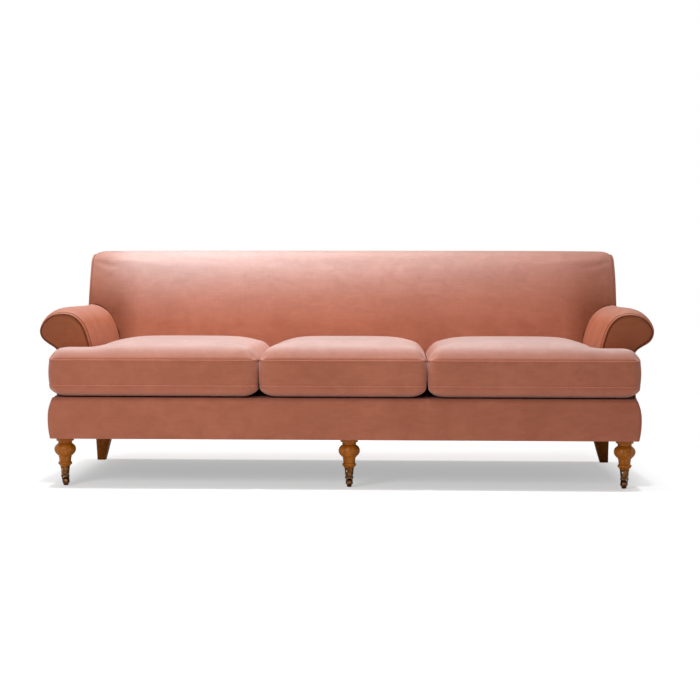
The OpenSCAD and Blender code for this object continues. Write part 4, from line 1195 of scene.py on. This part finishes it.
def make_boxing(label, side):
    name = label + "_back_boxing"
    outer, inside = back_profile(BOXING_Z, BOXING_REAR_Z, *BOXING_POINTS)
    normals = outward(outer)
    # the edge roll at full size, then a dome whose rings shrink to the middle
    last_x, last_drop = BOXING_RINGS[-1]
    stations = [(x, 1.0, drop) for x, drop in BOXING_RINGS]
    stations += [(last_x + BOXING_DOME * (1 - share**2), share, last_drop) for share in DOME_SHARES]
    middle = sum(outer + inside, Vector((0, 0))) / len(outer + inside)

    def drawn_in(p, normal, drop):
        """A point of the outline moved in, but hardly at the rear below the top's radius."""
        rear = rear_share(p) * smooth_step((SOFA_TOP - p.y) / REAR_R - 1)
        return p - normal * drop * (1 - BOXING_REAR * rear)

    rings = []
    for x, share, drop in stations:
        drop += corner_drop(SEAM_X) - BOXING_OVER
        line = [drawn_in(p, normal, drop) for p, normal in zip(outer, normals)] + inside
        line = [middle.lerp(p, share) for p in line]
        end_x = side * (SEAM_X + x)
        rings.append([Vector((end_x + end_swell(side * SEAM_X, p.y), *p)) for p in line])
    piece = loft(name + "_cover", rings, COVER_BACK)
    soften(piece)
    attach(piece, FRAME_BODY, name, fill=0.7)
    drop = corner_drop(SEAM_X) + BOXING_WELT_IN
    seam = [
        Vector((side * SEAM_X + end_swell(side * SEAM_X, p.y), *(p - normal * drop)))
        for p, normal in zip(outer, normals)
    ]
    add_cord(name + "_welt", seam, WELT_R, COVER_SHADE)


# Casters

# The cup's screw: its place in shares of the cup, and its head's rings as a radius and a height
SCREW_TURN = Matrix.Rotation(radians(-35), 4, "Z")
SCREW_DEPTH = 0.88
SCREW_SHARE = 0.60
SCREW_RINGS = ((0.0026, 0.0), (0.0026, 0.0008), (0.0021, 0.0015), (0.0008, 0.0018))
SCREW_POINTS = 20


def make_cup_screw(label):
    low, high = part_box(label + "_cup")
    middle = (low + high) / 2
    radius = (high.x - low.x) / 2
    place = Matrix.Translation((middle.x, middle.y, low.z + SCREW_SHARE * (high.z - low.z)))
    turns = [2 * pi * k / SCREW_POINTS for k in range(SCREW_POINTS)]
    rings = []
    for r, out in SCREW_RINGS:
        ring = [Vector((r * cos(w), -radius * SCREW_DEPTH - out, r * sin(w))) for w in turns]
        rings.append([place @ SCREW_TURN @ p for p in ring])
    piece = loft(label + "_cup_screw", rings, BRIGHT)
    attach(piece, FRAME_BODY, slot="antique_brass")


# The pieces

dress_cad_nodes()
OUTER_CUSHION = (MIDDLE_HIGH.x + GAP, ARM_X - 2 * GAP, CUSHION_HIGH.x)
make_cushion("left_seat_cushion", *OUTER_CUSHION, -1)
make_cushion("middle_seat_cushion", MIDDLE_LOW.x, MIDDLE_HIGH.x, MIDDLE_HIGH.x, 1)
make_cushion("right_seat_cushion", *OUTER_CUSHION, 1)
for side_name, side in SIDES.items():
    make_arm(side_name, side)
    make_scroll_panel(side_name, side)
    make_outside_arm(side_name, side)
    make_boxing(side_name, side)
make_front_band()
make_outside_back()
make_deck()
make_back()
for caster in ("left", "middle", "right"):
    make_cup_screw(caster)


# Floor, light and camera

FLOOR_SIZE = 40
FLOOR_Z = -0.0002
FLOOR_COLOUR = (0.86, 0.86, 0.86, 1)
AMBIENT = 0.175
FLOOR_LIFT = 0.43
# Where the floor starts and ends to turn white, and the share of the depth that counts for it
LIT_FADE = (2.2, 3.4, 1.0)
SEEN_FADE = (0.97, 1.16, 0.3)
SUN_WAY = -Vector((0.0, 0.02, 1.0))
SUN_ANGLE = 0.06
SUN_STRENGTH = 1.15
# Place, aim, size and power of each lamp
LAMPS = {
    "softbox": ((-0.45, -0.20, 2.3), (-0.30, 0.15, 0.6), (2.0, 0.5), 32),
    "key": ((-1.6, -3.4, 2.0), (-0.4, 0.0, 0.4), (1.4, 1.4), 44),
}


def empty_tree(owner):
    """The emptied node tree of a material or world, and how to make and join its nodes."""
    owner.use_nodes = True
    tree = owner.node_tree
    tree.nodes.clear()
    return tree, tree.nodes.new, tree.links.new


def mix_shaders(make, join, *sources):
    """Mixes by a share, the first source, from the second to the third."""
    mix = make("ShaderNodeMixShader")
    for source, socket in zip(sources, mix.inputs):
        join(source, socket)
    return mix.outputs[0]


def make_floor():
    """A pale floor that keeps the sofa's shadow and ends in plain white."""
    bpy.ops.mesh.primitive_plane_add(size=FLOOR_SIZE, location=(0, 0, FLOOR_Z))
    floor = bpy.context.object
    floor.name = "floor"
    material = bpy.data.materials.new("floor")
    tree, make, join = empty_tree(material)
    out = make("ShaderNodeOutputMaterial")
    diffuse = make("ShaderNodeBsdfDiffuse")
    diffuse.inputs["Color"].default_value = FLOOR_COLOUR
    lift = make("ShaderNodeEmission")
    lift.inputs["Strength"].default_value = FLOOR_LIFT
    paper = make("ShaderNodeEmission")
    paper.inputs["Strength"].default_value = 1.0
    ray = make("ShaderNodeLightPath")
    lifted = make("ShaderNodeAddShader")
    join(diffuse.outputs[0], lifted.inputs[0])
    join(lift.outputs[0], lifted.inputs[1])
    faded = []
    for near, (start, end, depth) in ((diffuse, LIT_FADE), (lifted, SEEN_FADE)):
        distance = make("ShaderNodeVectorMath")
        distance.operation = "LENGTH"
        join(object_place(tree, (1, depth, 1)), distance.inputs[0])
        share = rescale(tree, distance.outputs["Value"], start, end, "From")
        faded.append(mix_shaders(make, join, share, near.outputs[0], paper.outputs[0]))
    seen = mix_shaders(make, join, ray.outputs["Is Camera Ray"], *faded)
    join(seen, out.inputs["Surface"])
    floor.data.materials.append(material)


def make_world():
    """Plain ambient light, and pure white where the camera or a reflection sees past the floor."""
    world = bpy.data.worlds.new("studio")
    scene.world = world
    _, make, join = empty_tree(world)
    out = make("ShaderNodeOutputWorld")
    ambient = make("ShaderNodeBackground")
    ambient.inputs["Strength"].default_value = AMBIENT
    paper = make("ShaderNodeBackground")
    paper.inputs["Color"].default_value = (1, 1, 1, 1)
    ray = make("ShaderNodeLightPath")
    seen = ray.outputs["Is Camera Ray"]
    for other in ("Is Glossy Ray", "Is Transmission Ray"):
        either = make("ShaderNodeMath")
        either.operation = "MAXIMUM"
        join(seen, either.inputs[0])
        join(ray.outputs[other], either.inputs[1])
        seen = either.outputs["Value"]
    mix = mix_shaders(make, join, seen, ambient.outputs[0], paper.outputs[0])
    join(mix, out.inputs["Surface"])


def add_light(name, kind, power, way, place=(0, 0, 0)):
    """A lamp that shines along a direction."""
    lamp = bpy.data.lights.new(name, kind)
    lamp.energy = power
    lamp_object = bpy.data.objects.new(name, lamp)
    lamp_object.location = place
    lamp_object.rotation_euler = way.to_track_quat("-Z", "Y").to_euler()
    scene.collection.objects.link(lamp_object)
    return lamp


make_floor()
make_world()
add_light("overhead", "SUN", SUN_STRENGTH, SUN_WAY).angle = SUN_ANGLE
for lamp_name, (place, aim, size, power) in LAMPS.items():
    lamp = add_light(lamp_name, "AREA", power, Vector(aim) - Vector(place), place)
    lamp.shape = "RECTANGLE"
    lamp.size, lamp.size_y = size

camera = bpy.data.objects.new("camera", bpy.data.cameras.new("camera"))
camera.data.sensor_width = CAMERA_SENSOR
camera.data.lens = CAMERA_LENS
camera.location = CAMERA_PLACE
camera.rotation_euler = CAMERA_TURN
scene.collection.objects.link(camera)
scene.camera = camera
scene.view_settings.view_transform = "Standard"
